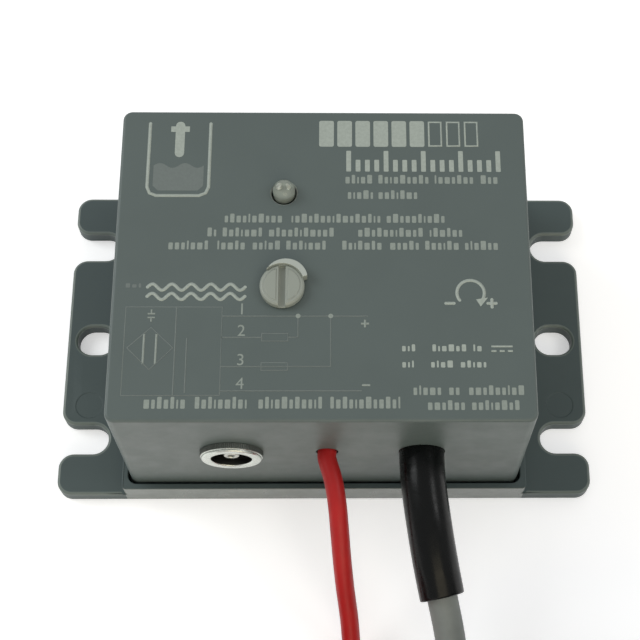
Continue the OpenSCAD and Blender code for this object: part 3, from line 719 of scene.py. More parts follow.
@dataclass(frozen=True)
class ClearLens(Look):
    """Clear cast resin of a status light, very slightly cloudy.

    Attributes:
        roughness: How matt it is.
        clear: The share of light that passes through.
    """

    roughness: float = 0.06
    clear: float = 0.6

    def build(self) -> Material:
        """Builds the material.

        Returns:
            The finished material.
        """
        make = ShaderMaker(self.name)
        colour = make.tint(make.noise(0.9, 2.0), self.colour, 0.96, 1.03)
        normal = make.bump(make.noise(1.1, 1.0), 0.004)
        rough = make.spread(make.noise(0.6, 2.0), self.roughness, -0.03, 0.04)
        return make.finish(colour, rough, normal, Transmission_Weight=self.clear, IOR=1.49)


@dataclass(frozen=True)
class PrintedInk(Look):
    """Pale screen-printed ink, thin enough that the grain below shows.

    Attributes:
        roughness: How matt it is.
        mottle: How far its colour drifts.
    """

    roughness: float = 0.55
    mottle: float = 0.1

    def build(self) -> Material:
        """Builds the material.

        Returns:
            The finished material.
        """
        make = ShaderMaker(self.name)
        specks = make.noise(0.35, 3.0, 0.7)
        colour = make.tint(specks, self.colour, 1 - self.mottle, 1 + self.mottle, (0.25, 0.7))
        rough = make.spread(make.noise(0.8), self.roughness, -0.05, 0.05)
        return make.finish(colour, rough, make.bump(make.noise(0.16, 3.0, 0.6), 0.005))


@dataclass(frozen=True)
class BoardLaminate(Look):
    """Glass-cloth board under a green solder mask, with copper tracks that show through it."""

    def build(self) -> Material:
        """Builds the material.

        Returns:
            The finished material.
        """
        make = ShaderMaker(self.name)
        factors = {"Color1": 1.0, "Color2": 1.12, "Mortar": 1.9}
        tones = {name: shade(self.colour, factor) for name, factor in factors.items()}
        cells = {"Vector": make.stretched((420.0, 420.0, 0.0)), "Scale": 1.0, "Mortar Size": 0.06, **tones}
        weave = make.bump(make.noise(0.4, 2.0), 0.006)
        rough = make.spread(make.noise(3.0), 0.34, -0.06, 0.06)
        return make.finish(make.put("ShaderNodeTexBrick", cells), rough, weave)


class Finish(Enum):
    """The finishes of the switch, each built once when it is first used. Some are lighter or darker copies of
    another finish that paint highlights, bounce light or shade.
    """

    HOUSING = MouldedPlastic("housing_grey", (87, 98, 96), 0.44, 0.005, 0.14, 0.035, 0.45)
    # Painted highlight: a lighter, glossier copy of the housing grey for the light hole's chamfer
    HOUSING_EDGE_HIGHLIGHT = MouldedPlastic("housing_edge_highlight", (150, 157, 152), 0.3, 0.002, 0.14, 0.03, 0.6)
    PLATE = MouldedPlastic("plate_grey", (74, 86, 86), 0.52, 0.005, 0.2, 0.04, 0.32)
    # Painted highlight: a lighter, glossier plate grey for the ears' rounded upper edges
    PLATE_EDGE_HIGHLIGHT = MouldedPlastic("plate_edge_highlight", (98, 109, 104), 0.4, 0.003, 0.2, 0.03, 0.6)
    # Painted light: a lighter copy of the plate grey for the bounce from the floor on the rim's front; its
    # lower roughness also makes it glossier
    PLATE_FRONT_LIT = MouldedPlastic("plate_front_lit", (80, 91, 84), 0.3, 0.003, 0.2, 0.03, 1.0)
    KNOB = MouldedPlastic("adjuster_pale", (146, 152, 143), 0.38, 0.003, 0.12, 0.04, 0.5)
    # Painted highlight: a lighter copy of the adjuster grey for the lip's top, which faces the light
    KNOB_LIP_LIT = MouldedPlastic("adjuster_lip_lit", (170, 177, 170), 0.34, 0.003, 0.12, 0.04, 0.6)
    ROTOR = MouldedPlastic("rotor_white", (214, 214, 206), 0.45, 0.003)
    TRIMMER = MouldedPlastic("trimmer_housing", (34, 52, 96), 0.4, 0.003)
    WHITE_PLASTIC = MouldedPlastic("insulator_white", (205, 206, 198), 0.5, 0.003, 0.1, 0.05, 0.4)
    TIE = MouldedPlastic("tie_nylon", (24, 25, 25), 0.38, 0.003, 0.1, 0.08, 0.5)
    RESIN = MouldedPlastic("moulded_resin", (30, 30, 32), 0.5, 0.006, 0.08, 0.1, 0.4)
    CERAMIC = MouldedPlastic("fired_ceramic", (176, 146, 104), 0.45, 0.003, 0.1, 0.08)
    CAN = SoftSheath("capacitor_sleeve", (34, 36, 48), 0.3, 0.004, 0.001, 0.2)
    NICKEL = TurnedMetal("socket_nickel", (202, 207, 200), 0.27, (1.0, 8.0, 1.0))
    # Partly the knurl's rougher metal, partly painted shade: a darker copy of the socket's nickel for the
    # flange's knurled side
    KNURL_SHADED = TurnedMetal("socket_knurl", (140, 143, 139), 0.36, (1.0, 8.0, 1.0))
    # Painted shade: a dark copy of the socket's nickel for the inside of its bore
    SOCKET_BORE_SHADE = TurnedMetal("socket_inside_shade", (78, 79, 76), 0.4, (1.0, 8.0, 1.0))
    CONTACT = TurnedMetal("contact_plated", (196, 199, 192), 0.4, (1.0, 8.0, 1.0), 0.0015)
    ZINC = TurnedMetal("screw_zinc", (186, 188, 190), 0.32, (1.0, 1.0, 4.0))
    TIN = TurnedMetal("tinned_copper", (206, 208, 208), 0.3, (3.0, 3.0, 1.0))
    SLEEVE = SoftSheath("sleeve_black", (4, 6, 6), 0.26, 0.02, 0.001, gloss=0.21)
    CABLE = SoftSheath("sheath_grey", (124, 129, 126), 0.5, 0.02, 0.003, gloss=0.3)
    RED = SoftSheath("insulation_red", (173, 28, 28), 0.42, 0.02, 0.002, gloss=0.3)
    BROWN = SoftSheath("insulation_brown", (92, 56, 34), 0.4, 0.008)
    BLACK = SoftSheath("insulation_black", (28, 28, 28), 0.4, 0.008)
    WHITE = SoftSheath("insulation_white", (222, 222, 216), 0.4, 0.008)
    BLUE = SoftSheath("insulation_blue", (38, 72, 150), 0.4, 0.008)
    LENS = ClearLens("lens_clear", (236, 240, 234), 0.05, 1.0)
    LENS_CORE = MouldedPlastic("lens_milky", (170, 176, 169), 0.5, 0.001, 0.3, 0.06, 0.3)
    # Partly real, partly painted highlight: the lead posts inside the lens, near-white so that they show as
    # the dome's two glints
    LENS_GLINT = MouldedPlastic("lens_post_glints", (238, 240, 232), 0.4, 0.001, 0.3, 0.03, 0.5)
    INK_BOLD = PrintedInk("ink_bold", (158, 167, 159))
    INK_TEXT = PrintedInk("ink_text", (138, 147, 140))
    INK_FAINT = PrintedInk("ink_faint", (106, 115, 112), 0.55, 0.06)
    BOARD = BoardLaminate("board_green", (30, 92, 54))

    def material(self) -> Material:
        """Gives the finish's material, and builds it on first use."""
        return bpy.data.materials.get(self.value.name) or self.value.build()


def coat(piece: Piece, *finishes: Finish) -> None:
    """Gives a piece one material slot for each finish."""
    for finish in finishes:
        piece.data.materials.append(finish.material())


def dress(piece: Piece, finish: Finish, slot: str, *nodes: str, body: str = CASE) -> Piece:
    """Hides the CAD nodes that a new piece stands for, gives it its finish, hangs it on its body and reports
    it.

    Args:
        piece: The finished piece.
        finish: Its finish, unless it has its materials already.
        slot: The record's material slot that it belongs to; not used.
        *nodes: The CAD nodes that it stands for.
        body: The body that it rides on.

    Returns:
        The same piece.
    """
    if nodes:
        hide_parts(*nodes)
    if not piece.data.materials:
        coat(piece, finish)
    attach(piece, body)
    size = [round(s / MM, 2) for s in piece.dimensions]
    log.info("%s: %s on %s, %s mm", piece.name, finish.value.name, body, size)
    return piece


def dress_nodes(**finishes: Finish) -> None:
    """Gives CAD nodes that stay in view their finishes.

    Args:
        **finishes: Each node's finish, by the node's name.
    """
    for node, finish in finishes.items():
        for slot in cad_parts[node].material_slots:
            slot.material = finish.material()
        log.info("%s: %s, kept as the CAD model has it", node, finish.value.name)


class NodeRecipe(NodeBench):
    """Builds one Geometry Nodes tree with named number inputs, and bakes it onto a piece."""

    def __init__(self, name: str, sizes: dict[str, float]) -> None:
        """Starts a tree.

        Args:
            name: The tree's name.
            sizes: Each named input's value, in metres or as a count.
        """
        self.tree = bpy.data.node_groups.new(name, "GeometryNodeTree")
        sockets = self.tree.interface
        for way in ("INPUT", "OUTPUT"):
            sockets.new_socket("Geometry", in_out=way, socket_type="NodeSocketGeometry")
        self.values = {}
        for label, value in sizes.items():
            kind = "NodeSocketInt" if isinstance(value, int) else "NodeSocketFloat"
            self.values[sockets.new_socket(label, in_out="INPUT", socket_type=kind).identifier] = value
        self.given = self.put("NodeGroupInput").node.outputs

    def vector(self, *parts: Socket | float) -> Socket:
        """Puts three numbers or sockets together as a vector."""
        return self.put("ShaderNodeCombineXYZ", dict(enumerate(parts)))

    def scatter(self, points: Socket, shape: Socket) -> Socket:
        """Puts a copy of a shape on each point."""
        return self.put("GeometryNodeInstanceOnPoints", {"Points": points, "Instance": shape})

    def bake_onto(self, piece: Piece, result: Socket, finish: Finish) -> Piece:
        """Ends the tree, runs it on a piece and keeps the result as its mesh.

        Args:
            piece: The object that the tree starts from.
            result: The socket with the finished geometry.
            finish: The finish of what the tree makes.

        Returns:
            The piece with its plain mesh.
        """
        real = self.put("GeometryNodeRealizeInstances", {"Geometry": result})
        paint = self.put("GeometryNodeSetMaterial", {"Geometry": real, "Material": finish.material()})
        self.feed(self.tree.nodes.new("NodeGroupOutput"), {"Geometry": paint})
        modifier = piece.modifiers.new(self.tree.name, "NODES")
        modifier.node_group = self.tree
        for identifier, value in self.values.items():
            modifier[identifier] = value
        return bake(piece)


# Studio


@dataclass
class Studio:
    """The camera that matches the photograph, a pale floor and soft lamps.

    Attributes:
        eye: The camera's place, in millimetres.
        right: The camera's direction to the right.
        above: The camera's upward direction.
        lens: The lens's focal length for a 36 mm wide sensor.
        shift: How far the picture is shifted to the side, as a share of its width.
        sky: The strength of the even light from all sides.
        glow: The strength of the floor's own light, where the camera sees it.
        aim: What the lamps point at, in metres.
        lamps: Each lamp's name, place and width in metres, power in watts and linear colour.
    """

    eye: Point = (2.80294, -75.44746, 194.75952)
    right: Point = (0.9997163, -0.0086676, 0.0221852)
    above: Point = (-0.0003675, 0.9257123, 0.3782282)
    lens: float = 81.62
    shift: float = -0.09375
    sky: float = 0.56
    glow: float = 0.42
    aim: Point = (0, 0, 0.01)
    lamps: tuple[tuple[str, Point, float, float, Colour], ...] = (
        ("front_box", (0.16, -0.62, 0.3), 0.5, 1.3, (1.0, 0.87, 0.6)),
        ("left_box", (-0.55, 0.2, 0.5), 0.4, 2.0, (0.96, 0.99, 1.0)),
        ("right_box", (0.5, -0.03, 0.55), 0.2, 0.5, (1.0, 1.0, 1.0)),
    )

    def place_camera(self) -> None:
        """Puts the camera where the photograph was taken from."""
        data = bpy.data.cameras.new("photo_view")
        data.sensor_width, data.lens, data.shift_x = 36.0, self.lens, self.shift
        data.clip_start, data.clip_end = 0.01, 20.0
        camera = linked("photo_view", data)
        x, y = Vector(self.right).normalized(), Vector(self.above)
        z = x.cross(y).normalized()
        turn = Matrix((x, z.cross(x), z)).transposed().to_4x4()
        camera.matrix_world = Matrix.Translation(Vector(self.eye) * MM) @ turn
        bpy.context.scene.camera = camera

    def light(self) -> None:
        """Sets the even light and the soft square lamps."""
        world = bpy.data.worlds.new("even_light")
        world.use_nodes = True
        sky = world.node_tree.nodes["Background"].inputs
        sky["Color"].default_value, sky["Strength"].default_value = (1.0, 1.0, 1.0, 1.0), self.sky
        bpy.context.scene.world = world
        for name, place, width, power, colour in self.lamps:
            data = bpy.data.lights.new(name, "AREA")
            data.shape, data.size, data.energy, data.color = "SQUARE", width, power, colour
            turn = (Vector(self.aim) - Vector(place)).to_track_quat("-Z", "Y").to_matrix().to_4x4()
            linked(name, data).matrix_world = Matrix.Translation(Vector(place)) @ turn

    def floor(self) -> None:
        """Lays a pale floor that keeps the object's shadow."""
        half, z = 3.0, -0.00004
        plane = mesh_object("floor", [(x, y, z) for x, y in bar(-half, -half, half, half)], [(0, 1, 2, 3)])
        make = ShaderMaker("floor_white")
        colour = make.ramp(make.noise(60.0, 1.0), (0.93, 0.93, 0.93, 1), (0.95, 0.95, 0.95, 1))
        rays = make.put("ShaderNodeLightPath").node.outputs
        seen = rays["Is Camera Ray"]
        for kind in ("Is Transmission Ray", "Is Glossy Ray"):
            seen = make.sum("MAXIMUM", seen, rays[kind])
        lift = make.put("ShaderNodeEmission", {"Strength": make.sum("MULTIPLY", seen, self.glow)})
        material = make.finish(colour, 0.9, Specular_IOR_Level=0.0)
        both = make.put("ShaderNodeAddShader", {0: make.shader.outputs[0], 1: lift})
        make.feed(make.tree.nodes["Material Output"], {"Surface": both})
        plane.data.materials.append(material)

    def build(self) -> None:
        """Sets up the whole studio."""
        bpy.context.scene.view_settings.view_transform = "Standard"
        self.place_camera()
        self.light()
        self.floor()
        log.info("studio: camera, lamps and floor")


# Cords


@dataclass
class Coil:
    """A neat round coil, wound as flat spirals on each other, with the cord's end on top.

    Attributes:
        start: Where the run meets the lowest outer turn.
        diameter: The cord's diameter.
        mean_r: The radius of the middle of its turns.
        columns: Turns beside each other.
        layers: Turns on each other.
        start_angle: Where the run meets it, in degrees.
        way: 1 for counter-clockwise from above, -1 for clockwise.
        tail_turns: The share of a turn that lies on top.
        per_turn: Points in each turn.
    """

    start: Point
    diameter: float
    mean_r: float
    columns: int
    layers: int
    start_angle: float
    way: int
    tail_turns: float
    per_turn: int = 20

    @property
    def half_w(self) -> float:
        """The distance from the middle of its turns to the outer or inner one's middle line."""
        return (self.columns - 1) / 2 * self.diameter

    @property
    def centre(self) -> Vector:
        """The coil's middle on the surface."""
        ((x, y),) = arc(0, 0, self.mean_r + self.half_w, [self.start_angle])
        return Vector((self.start[0] - x, self.start[1] - y, 0))

    @property
    def top(self) -> float:
        """The height of the wound turns' top."""
        return SURFACE_LIFT + self.layers * self.diameter

    def at(self, angle: float, radius: float, z: float) -> Vector:
        """Gives a point at an angle past the coil's start, in degrees."""
        ((x, y),) = arc(0, 0, radius, [self.start_angle + self.way * angle])
        return self.centre + Vector((x, y, z))

    def points(self) -> list[Vector]:
        """Works out the middle line of all turns and of the end on top.

        A spiral moves one diameter a turn, inwards in one layer and outwards in the next, and the
        cord climbs where the way changes, so turns lie a diameter apart.

        Returns:
            Points in millimetres.
        """
        span = self.columns - 1
        turns = span * self.layers + self.tail_turns
        count = round(turns * self.per_turn)
        line = []
        for k in range(count + 1):
            t = turns * k / count
            column = span - abs(t % (2 * span) - span)
            climbs = [(t - span * change) / RISE_TURNS + 0.5 for change in range(1, self.layers + 1)]
            layer = sum(map(smooth, climbs))
            radius = self.mean_r + self.half_w - column * self.diameter
            line.append(self.at(360 * t, radius, SURFACE_LIFT + (layer + 0.5) * self.diameter))
        return line


@dataclass
class CoilTie:
    """A releasable tie round a coil: a strap with ridges, a head and a short loose end.

    Attributes:
        name: The start of the pieces' names.
        coil: The coil it holds.
        width: The strap's width.
        ridges: The number of ridges on the strap's top.
        strap: The strap's thickness.
        room: The slack between strap and coil.
        ridge_r: The ridges' radius.
    """

    name: str
    coil: Coil
    width: float
    ridges: int
    strap: float = 0.7
    room: float = 0.15
    ridge_r: float = 0.12

    def loop(self, grow: float, corner: float) -> list[Flat]:
        """Gives the strap's outline round the coil by radius and height.

        Args:
            grow: How far it is grown outwards.
            corner: The rounding of its corners.

        Returns:
            The outline's points.
        """
        coil = self.coil
        half = coil.columns * coil.diameter / 2 + self.room + grow
        low = SURFACE_LIFT - min(grow, SURFACE_LIFT)
        return bar(coil.mean_r - half, low, coil.mean_r + half, coil.top + self.room + grow, corner)

    def make_strap(self, outer: Outline) -> Piece:
        """Makes the strap as a closed band.

        Args:
            outer: Its outer outline round the coil.

        Returns:
            The strap.
        """
        w = self.width / 2
        pairs = zip(self.loop(0, 0.9), outer)
        rings = [metres([(-w, *a), (-w, *b), (w, *b), (w, *a)]) for a, b in pairs]
        return rounded_edges(skin(f"{self.name}_strap", rings, closed=True), 0.12, 2, 60)

    def make_head(self, far: float, high: float) -> Piece:
        """Makes the head on the coil's outer side, with the strap's loose end through it.

        Args:
            far: The strap's outer side, from the coil's middle.
            high: The strap's top.

        Returns:
            The head.
        """
        w, z = self.width, high * 0.5
        block = bar(-w * 0.72, far - 0.35, w * 0.72, far + self.coil.diameter * 0.42, 0.4)
        head = prism(f"{self.name}_head", [block], z, z + w * 1.15)
        rounded_edges(head, 0.2, 2, 50)
        loose = bar(-w / 2, far + 0.1, w / 2, far + 0.1 + self.strap, 0.2)
        return joined(head.name, [head, prism(f"{self.name}_end", [loose], z - 0.4, high)])

    def make_ridges(self, near: float, far: float, high: float) -> Piece:
        """Makes the ridges across the strap's top with Geometry Nodes.

        Args:
            near: Where the row starts, from the coil's middle.
            far: Where it ends.
            high: The strap's top.

        Returns:
            The ridges.
        """
        sizes = {"First": near, "Pitch": (far - near) / self.ridges, "Width": self.width * 0.7}
        sizes = {label: size * MM for label, size in sizes.items()}
        recipe = NodeRecipe(f"{self.name}_ridge_row", {"Ridges": self.ridges, **sizes})
        given = recipe.given
        start = recipe.vector(0.0, given["First"], high * MM)
        step = recipe.vector(0.0, given["Pitch"], 0.0)
        line = {"Count": given["Ridges"], "Start Location": start, "Offset": step}
        rod = {"Vertices": 8, "Radius": self.ridge_r * MM, "Depth": given["Width"]}
        across = {"Geometry": recipe.put("GeometryNodeMeshCylinder", rod), "Rotation": (0, math.pi / 2, 0)}
        ridge = recipe.put("GeometryNodeTransform", across)
        row = recipe.scatter(recipe.put("GeometryNodeMeshLine", line), ridge)
        return recipe.bake_onto(mesh_object(f"{self.name}_ridges", [(0, 0, 0)]), row, Finish.TIE)

    def build(self) -> list[Piece]:
        """Builds and dresses the tie.

        Returns:
            The tie's pieces.
        """
        outer = self.loop(self.strap, 1.5)
        (near, _), (far, high) = [[side(v) for v in zip(*outer)] for side in (min, max)]
        strap, head = self.make_strap(outer), self.make_head(far, high)
        made = [strap, head, self.make_ridges(near + 2.0, far - 2.0, high)]
        angle = self.coil.start_angle + self.coil.way * TIE_ANGLE - 90
        place = Matrix.Translation(self.coil.centre * MM) @ Matrix.Rotation(math.radians(angle), 4, "Z")
        for piece in made:
            piece.data.transform(place)
            dress(piece, Finish.TIE, "tie_black", "coil_ties")
        return made


def cord_curve(name: str, line: Sequence[Vector], diameter: float, finish: Finish) -> Piece:
    """Makes a cord as a curve of one open spline.

    Args:
        name: The piece's name.
        line: Its middle line, in metres.
        diameter: Its diameter, in millimetres.
        finish: Its finish.

    Returns:
        The cord.
    """
    data = bpy.data.curves.new(name, "CURVE")
    data.dimensions = "3D"
    data.bevel_depth = diameter / 2 * MM
    data.bevel_resolution = 6
    data.use_fill_caps = True
    spline = data.splines.new("POLY")
    spline.points.add(len(line) - 1)
    for point, place in zip(spline.points, line):
        point.co = (*place, 1.0)
    spline.use_smooth = True
    made = linked(name, data)
    coat(made, finish)
    return made


def ferrule(
    name: str, end: Vector, heading: Vector, collar_r: float, pin_r: float, length: float
) -> tuple[Piece, Piece]:
    """Makes a crimped wire ferrule: a flared collar and a squared, pressed pin.

    Args:
        name: The start of the pieces' names.
        end: Where the insulation ends, in millimetres.
        heading: The core's direction there.
        collar_r: The collar's radius, in millimetres.
        pin_r: The pin's radius, in millimetres.
        length: The whole length, in millimetres.

    Returns:
        The collar and the pin.
    """
    flare = [(collar_r * 0.8, 0), (collar_r, 0.06), (collar_r, 0.9)]
    flare += [(collar_r * 0.8, 2.05), (pin_r + 0.12, 2.2)]
    outline = [(pin_r, 2.0)]
    for k in range(7):
        z = 2.6 + k * (length - 3.2) / 7
        outline += [(pin_r, z), (pin_r * 0.86, z + 0.12), (pin_r * 0.86, z + 0.34), (pin_r, z + 0.46)]
    outline += [(pin_r, length - 0.15), (pin_r * 0.7, length)]
    collar = lathe(f"{name}_collar", flare, end, heading, 24)
    return soften(collar), soften(lathe(f"{name}_pin", outline, end, heading, 20))


@dataclass
class Cord:
    """A cord from the front wall down to the surface, into a tied coil and to its stripped end.

    Attributes:
        name: The cord's name.
        finish: Its finish.
        slot: Its record slot.
        nodes: The CAD nodes that it stands for.
        stiffness: How stiff it is; not used.
        exit_x: Its exit's place across the front.
        diameter: Its diameter.
        winding: The coil's mean radius, columns, layers, start angle, way and turns on top.
        tie: Its tie's name, width as a share of the diameter and number of ridges.
        route: Reach right of the exit, reach out from the wall and share of the drop, in turn.
    """

    name: str
    finish: Finish
    slot: str
    nodes: tuple[str, ...]
    stiffness: str
    exit_x: float
    diameter: float
    winding: tuple[float, int, int, float, int, float]
    tie: tuple[str, float, int]
    route: tuple[Point, ...]

    def route_points(self) -> list[Vector]:
        """Turns the route table into points in millimetres, as the CAD source does."""
        rest = SURFACE_LIFT + self.diameter / 2
        return [Vector((self.exit_x + x, -FRONT_Y - y, rest + s * (EXIT_Z - rest))) for x, y, s in self.route]

    def coil(self) -> Coil:
        """Gives the coil that takes the length that the photograph doesn't show."""
        return Coil(tuple(self.route_points()[-1]), self.diameter, *self.winding)

    def strip_end(self, end: Vector, heading: Vector) -> list[Piece]:
        """Builds and dresses what comes out of the cord's end.

        Args:
            end: The end of its sheath, in millimetres.
            heading: Its direction there.

        Returns:
            The pieces that stay with the cord.
        """
        raise NotImplementedError

    def build(self) -> None:
        rough = self.route_points()[:-1] + self.coil().points()
        line = metres(smooth_route(rough, 3))
        cord = cord_curve(self.name, line, self.diameter, self.finish)
        on_it = self.strip_end(rough[-1], (rough[-1] - rough[-2]).normalized())
        tie, share, ridges = self.tie
        on_it += CoilTie(tie, self.coil(), self.diameter * share, ridges).build()
        dress(cord, self.finish, self.slot, *self.nodes)
        log.info("%s: %.3f m from the front wall to its end", self.name, line_length(line))


@dataclass
class Cable(Cord):
    """The grey four-core cable: its run out of the sleeve, its tied coil and its stripped end.

    Attributes:
        core_d: A core's diameter.
        core_offset: How far a core lies from the cable's middle, each way.
        ferrule_l: A ferrule's length.
        collar_r: Its collar's radius.
        pin_r: Its pin's radius.
        core_spacing: The distance between two fanned cores.
        cores: Each core's finish.
    """

    name: str = "cable_sheath"
    finish: Finish = Finish.CABLE
    slot: str = "cable_grey"
    nodes: tuple[str, ...] = ("cable_run", "cable_coil", "cable_tail")
    stiffness: str = "medium"
    exit_x: float = CABLE_X
    diameter: float = 3.9
    winding: tuple[float, int, int, float, int, float] = (19.6, 4, 5, 180, 1, 0.3)
    tie: tuple[str, float, int] = ("cable_tie", 0.75, 14)
    route: tuple[Point, ...] = (
        (0, 0, 1),
        (0, 1.5, 1),
        (0.2, 4.7, 0.987),
        (0.75, 8.7, 0.93),
        (1.5, 12.9, 0.808),
        (2.5, 17.2, 0.629),
        (3.6, 21.7, 0.425),
        (4.24, 26.7, 0.233),
        (3.82, 32.7, 0.08),
        (2.68, 38.7, 0.01),
        (1.2, 45.7, 0),
        (0.5, 52.7, 0),
    )
    core_d: float = 1.1
    core_offset: float = 0.62
    ferrule_l: float = 7.0
    collar_r: float = 0.85
    pin_r: float = 0.35
    core_spacing: float = 2.4
    cores: tuple[Finish, ...] = (Finish.BROWN, Finish.BLACK, Finish.WHITE, Finish.BLUE)

    def core_line(self, number: int, end: Vector, heading: Vector) -> list[Vector]:
        """Gives the line of one core, which fans out and comes to rest on the coil.

        Args:
            number: The core's number, from 0.
            end: The end of the sheath, in millimetres.
            heading: The cable's direction there.

        Returns:
            Points in millimetres.
        """
        coil = self.coil()
        side = heading.cross(Vector((0, 0, 1))).normalized()
        s, up = (-1 if number % 2 == 0 else 1), (-1 if number < 2 else 1)
        first = end + self.core_offset * (s * side + up * Vector((0, 0, 1)))
        sheath_r = coil.mean_r - coil.half_w + coil.tail_turns * self.diameter
        last_r = sheath_r + self.core_spacing * ((1, 2, 0, 3)[number] - 0.2)
        a = 360 * coil.tail_turns
        return [
            first,
            first + heading,
            coil.at(a + 20, 0.55 * sheath_r + 0.45 * last_r + s * 0.4, end.z + up * 0.45 - 0.3),
            coil.at(a + 38, 0.25 * sheath_r + 0.75 * last_r, coil.top + self.core_d / 2 + 0.1),
            coil.at(a + 60, last_r, coil.top + self.collar_r),
        ]

    def strip_end(self, end: Vector, heading: Vector) -> list[Piece]:
        """Builds and dresses the four cores and their ferrules.

        Args:
            end: The end of the sheath, in millimetres.
            heading: The cable's direction there.

        Returns:
            The cores and the ferrules' two pieces.
        """
        on_it, ferrules = [], []
        for number, finish in enumerate(self.cores):
            colour = finish.name.lower()
            points = self.core_line(number, end, heading)
            core = cord_curve(f"core_{colour}_wire", metres(smooth_route(points, 6)), self.core_d, finish)
            on_it.append(dress(core, finish, f"core_{colour}", f"core_{colour}"))
            tip = (points[-1] - points[-2]).normalized()
            sizes = (self.collar_r, self.pin_r, self.ferrule_l)
            ferrules.append(ferrule(f"{colour}_ferrule", points[-1], tip, *sizes))
        collars, pins = zip(*ferrules)
        for name, pieces, finish, slot in (
            ("core_ferrule_collars", collars, Finish.ROTOR, "white_plastic"),
            ("core_ferrule_pins", pins, Finish.TIN, "tinned_metal"),
        ):
            on_it.append(dress(soften(joined(name, pieces)), finish, slot, "core_ferrules"))
        return on_it


@dataclass
class EarthLead(Cord):
    """The single red lead with its tied coil and a ferrule on its end.

    Attributes:
        pin_r: The ferrule's pin's radius.
        ferrule_l: The ferrule's length.
    """

    name: str = "earth_lead"
    finish: Finish = Finish.RED
    slot: str = "lead_red"
    nodes: tuple[str, ...] = ("red_lead_run", "red_lead_coil", "red_lead_tail")
    stiffness: str = "limp"
    exit_x: float = LEAD_X
    diameter: float = 2.4
    winding: tuple[float, int, int, float, int, float] = (12.2, 3, 3, 0, -1, 0.4)
    tie: tuple[str, float, int] = ("lead_tie", 1.0, 8)
    route: tuple[Point, ...] = (
        (0, 0, 1),
        (0, 1, 1),
        (0.8, 3.7, 0.982),
        (1.3, 6.7, 0.927),
        (1.6, 9.7, 0.817),
        (1.9, 12.7, 0.652),
        (2.3, 15.7, 0.451),
        (2.8, 18.7, 0.256),
        (3.1, 21.7, 0.098),
        (3.4, 25.2, 0.012),
        (3.5, 29.7, 0),
        (3.5, 34.7, 0),
        (3.5, 39.7, 0),
    )
    pin_r: float = 0.7
    ferrule_l: float = 9.0

    def strip_end(self, end: Vector, heading: Vector) -> list[Piece]:
        """Builds and dresses the ferrule.

        Args:
            end: The end of the insulation, in millimetres.
            heading: The lead's direction there.

        Returns:
            The ferrule's two pieces.
        """
        collar, pin = ferrule("lead_ferrule", end, heading, self.diameter / 2, self.pin_r, self.ferrule_l)
        looks = ((collar, Finish.RED, "lead_red"), (pin, Finish.TIN, "tinned_metal"))
        return [dress(piece, finish, slot, "red_lead_ferrule") for piece, finish, slot in looks]


@dataclass
class Sleeve:
    """The black sleeve round the cable, which starts behind the front wall.

    Attributes:
        bore_r: The bore's radius.
        outer_r: The outer radius.
        inside: How far behind the wall's face it starts.
        lip: The rounding of its outer edges.
        edge: The bevel of its bore at the cut end.
        rings: How many points of the cable's route it covers.
        slant: The slope of its cut end.
        slant_l: The stretch over which the slope fades out.
        extra: What the cut end's middle adds to its length.
        steps: The number of steps round it and along it.
    """

    bore_r: float = 2.02
    outer_r: float = 2.87
    inside: float = 5.0
    lip: float = 0.25
    edge: float = 0.12
    rings: int = 6
    slant: float = 0.36
    slant_l: float = 6.0
    extra: float = 0.22
    steps: int = 48

    def slant_end(self, sleeve: Piece, end: Vector, heading: Vector) -> None:
        """Slants the cut end, so that the side that faces up is shorter.

        Args:
            sleeve: The sleeve.
            end: The middle of its cut end, in metres.
            heading: Its direction there.
        """
        above = heading.cross(Vector((0, 0, 1))).normalized().cross(heading)
        for vertex in sleeve.data.vertices:
            offset = vertex.co - end
            share = smooth(1 + offset.dot(heading) / (self.slant_l * MM))
            vertex.co += heading * share * (self.extra * MM - self.slant * offset.dot(above))

    def build(self) -> None:
        """Builds the sleeve along the first points of the cable's route."""
        start = Vector((CABLE_X, -FRONT_Y + self.inside, EXIT_Z))
        line = metres(smooth_route([start, *Cable().route_points()[: self.rings]], 8))
        length = line_length(line) / MM
        r, b, c = self.outer_r, self.bore_r, self.lip
        wall = [length * k / self.steps for k in range(1, self.steps)]
        outline = [(0.0, b + 0.05), (0.0, r - c), *arc(c, r - c, c, (150, 120, 90)), *[(s, r) for s in wall]]
        outline += [*arc(length - c, r - c, c, (90, 60, 30, 0)), (length, b + self.edge)]
        outline += [(length - self.edge, b), *[(s, b) for s in reversed(wall)]]
        sleeve = sweep("cable_sleeve_tube", line, outline, self.steps)
        self.slant_end(sleeve, line[-1], (line[-1] - line[-2]).normalized())
        dress(soften(sleeve, 50), Finish.SLEEVE, "sleeve_rubber", "cable_sleeve")


# The case


